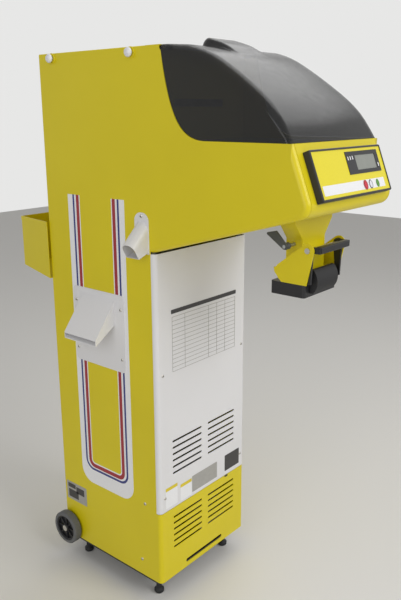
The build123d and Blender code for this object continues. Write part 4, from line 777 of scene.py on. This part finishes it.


# Screws: domed heads in place of plain discs, with black bars as painted shade of a cross recess
def screwHeads():
    screw = {"radius": 4.5, "rise": 2.2, "around": 24, "slot": (5.2, 0.9, 0.5), "sunk": 0.15,
             # shares of the radius and of the rise
             "dome": [(0, 1), (0.55, 0.93), (0.85, 0.62), (1.0, 0.25), (1.0, 0)],
             "cover": [(x, z) for x in (-166, 166) for z in (683, 330)],
             "sides": [(43, 301), (60, 119)],
             "outlets": [(111.75, 704), (111.75, 841), (285.25, 704), (285.25, 841), (27, 1093)],
             "outletPlate": 1.5}
    places = [((x, coverFace, z), (0, -1, 0)) for x, z in screw["cover"]]
    for sign in (-1, 1):
        places += [((sign * halfColumn, y, z), (sign, 0, 0)) for y, z in screw["sides"]]
    places += [((leftFace - screw["outletPlate"], y, z), (-1, 0, 0)) for y, z in screw["outlets"]]
    profile = [(r * screw["radius"], z * screw["rise"]) for r, z in screw["dome"]]
    heads, marks = bmesh.new(), bmesh.new()
    for spot, normal in places:
        turned = Vector((0, 0, 1)).rotation_difference(Vector(normal)).to_matrix().to_4x4()
        seat = Matrix.Translation(place(*spot)) @ turned
        turnedForm(heads, profile, screw["around"], seat)
        # black cross bars on the crown: painted shade of the cross recess
        crown = seat @ Matrix.Translation((0, 0, (screw["rise"] - screw["sunk"]) * mm))
        for angle in (math.pi / 4, -math.pi / 4):
            arm = bmesh.ops.create_cube(marks, size=1)
            bmesh.ops.scale(marks, verts=arm["verts"], vec=Vector(screw["slot"]) * mm)
            bmesh.ops.transform(marks, verts=arm["verts"],
                                matrix=crown @ Matrix.Rotation(angle, 4, "Z"))
    piece = finishPiece("screw_heads", heads, zinc, "machine")
    roundShading(piece)
    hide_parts("panel_screws")
    finishPiece("screw_recess_shade", marks, blackAbs, "machine")


screwHeads()
print("screws set")


# Knobs: mushroom caps turned in acetal, each over a yellow washer on the sheet
def topKnobs():
    knob = {"z": 1467.5, "rows": {"front": 48, "rear": 335}, "around": 36,
            # (radius, height over the sheet) from the crown down to the neck, and round the washer
            "cap": [(0, 16.0), (4.5, 15.6), (8.0, 14.1), (10.3, 11.6), (11.0, 9.2), (10.6, 7.1),
                    (9.2, 6.0), (6.2, 5.8), (5.8, 0.4), (0, 0.4)],
            "washer": [(6.6, 0), (6.6, 1.76), (7.2, 2.2), (11.8, 2.2), (13.0, 0.88), (13.0, 0)]}
    for sideName, sign in (("left", -1), ("right", 1)):
        for rowName, y in knob["rows"].items():
            seat = (Matrix.Translation(place(sign * halfColumn, y, knob["z"]))
                    @ Matrix.Rotation(sign * math.pi / 2, 4, "Y"))
            node = f"knob_{sideName}_{rowName}"
            body = "knob_" + sideName[0] + rowName[0]
            cap, washer = bmesh.new(), bmesh.new()
            turnedForm(cap, knob["cap"], knob["around"], seat)
            piece = finishPiece(node + "_cap", cap, whitePom, body)
            roundShading(piece)
            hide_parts(node)
            turnedForm(washer, knob["washer"], knob["around"], seat, closed=True)
            roundShading(finishPiece(node + "_washer", washer, yellowEnamel, "machine"))


topKnobs()
print("knobs set")

# Studio: a pale floor and wall colour, three soft lamps and a plain world
studio = {
    "floor": "#E2E0DC", "floorSize": 14, "floorRoughness": 0.75, "aim": (0, -0.1, 0.9),
    # name, power, width and place of each lamp, in W and m
    "lamps": [("keyLamp", 64, 2.2, (0.2, -3.3, 2.7)), ("fillLamp", 30, 2.6, (-3.2, -1.0, 1.8)),
              ("sheenLamp", 26, 2.6, (1.8, 0.1, 3.6))],
    # the wall as it is seen, also in reflections, is brighter than the light it gives
    "wall": "#F2F2F1", "wallLight": 0.42, "wallSeen": 0.9,
}
floorMesh = bmesh.new()
bmesh.ops.create_grid(floorMesh, x_segments=1, y_segments=1, size=studio["floorSize"] / 2)
floorData = bpy.data.meshes.new("studio_floor")
floorMesh.to_mesh(floorData)
floorMesh.free()
floor = bpy.data.objects.new("studio_floor", floorData)
bpy.context.collection.objects.link(floor)
floorMaterial, floorTree = newMaterial("paleStudioFloor")
floorPaint = addNode(floorTree, "ShaderNodeBsdfPrincipled",
                     {"Base Color": hexColour(studio["floor"]),
                      "Roughness": studio["floorRoughness"]})
addNode(floorTree, "ShaderNodeOutputMaterial", links={"Surface": floorPaint.outputs[0]})
floorData.materials.append(floorMaterial)

for name, power, width, position in studio["lamps"]:
    lampData = bpy.data.lights.new(name, "AREA")
    lampData.energy = power
    lampData.shape = "SQUARE"
    lampData.size = width
    lamp = bpy.data.objects.new(name, lampData)
    lamp.location = position
    lamp.rotation_mode = "QUATERNION"
    toAim = Vector(studio["aim"]) - Vector(position)
    lamp.rotation_quaternion = toAim.to_track_quat("-Z", "Y")
    bpy.context.collection.objects.link(lamp)

world = bpy.data.worlds.new("studioWorld")
bpy.context.scene.world = world
world.use_nodes = True
worldTree = world.node_tree
worldTree.nodes.clear()
ray = addNode(worldTree, "ShaderNodeLightPath")
seen = ray.outputs["Is Camera Ray"]
for kind in ("Is Glossy Ray", "Is Transmission Ray"):
    either = addNode(worldTree, "ShaderNodeMath", {"operation": "MAXIMUM"},
                     {0: seen, 1: ray.outputs[kind]})
    seen = either.outputs[0]
level = addNode(worldTree, "ShaderNodeMapRange",
                {"To Min": studio["wallLight"], "To Max": studio["wallSeen"]}, {"Value": seen})
sky = addNode(worldTree, "ShaderNodeBackground", {"Color": hexColour(studio["wall"])},
              {"Strength": level.outputs[0]})
addNode(worldTree, "ShaderNodeOutputWorld", links={"Surface": sky.outputs[0]})

# Camera at the photograph's angle
view = {"position": (-1355.0, -1148.27, 1337.71), "azimuth": math.radians(-49.75),
        "elevation": math.radians(15.42), "roll": math.radians(-0.25), "lens": 41.16, "sensor": 36}
cameraData = bpy.data.cameras.new("photoCamera")
cameraData.lens = view["lens"]
cameraData.sensor_width = view["sensor"]
camera = bpy.data.objects.new("photoCamera", cameraData)
outward = math.cos(view["elevation"])
back = Vector((math.sin(view["azimuth"]) * outward, -math.cos(view["azimuth"]) * outward,
               math.sin(view["elevation"])))
roll = Matrix.Rotation(view["roll"], 4, "Z").to_quaternion()
camera.rotation_mode = "QUATERNION"
camera.rotation_quaternion = (-back).to_track_quat("-Z", "Y") @ roll
camera.location = place(*view["position"])
bpy.context.collection.objects.link(camera)
bpy.context.scene.camera = camera
bpy.context.scene.view_settings.view_transform = "Standard"
print("studio and camera ready")
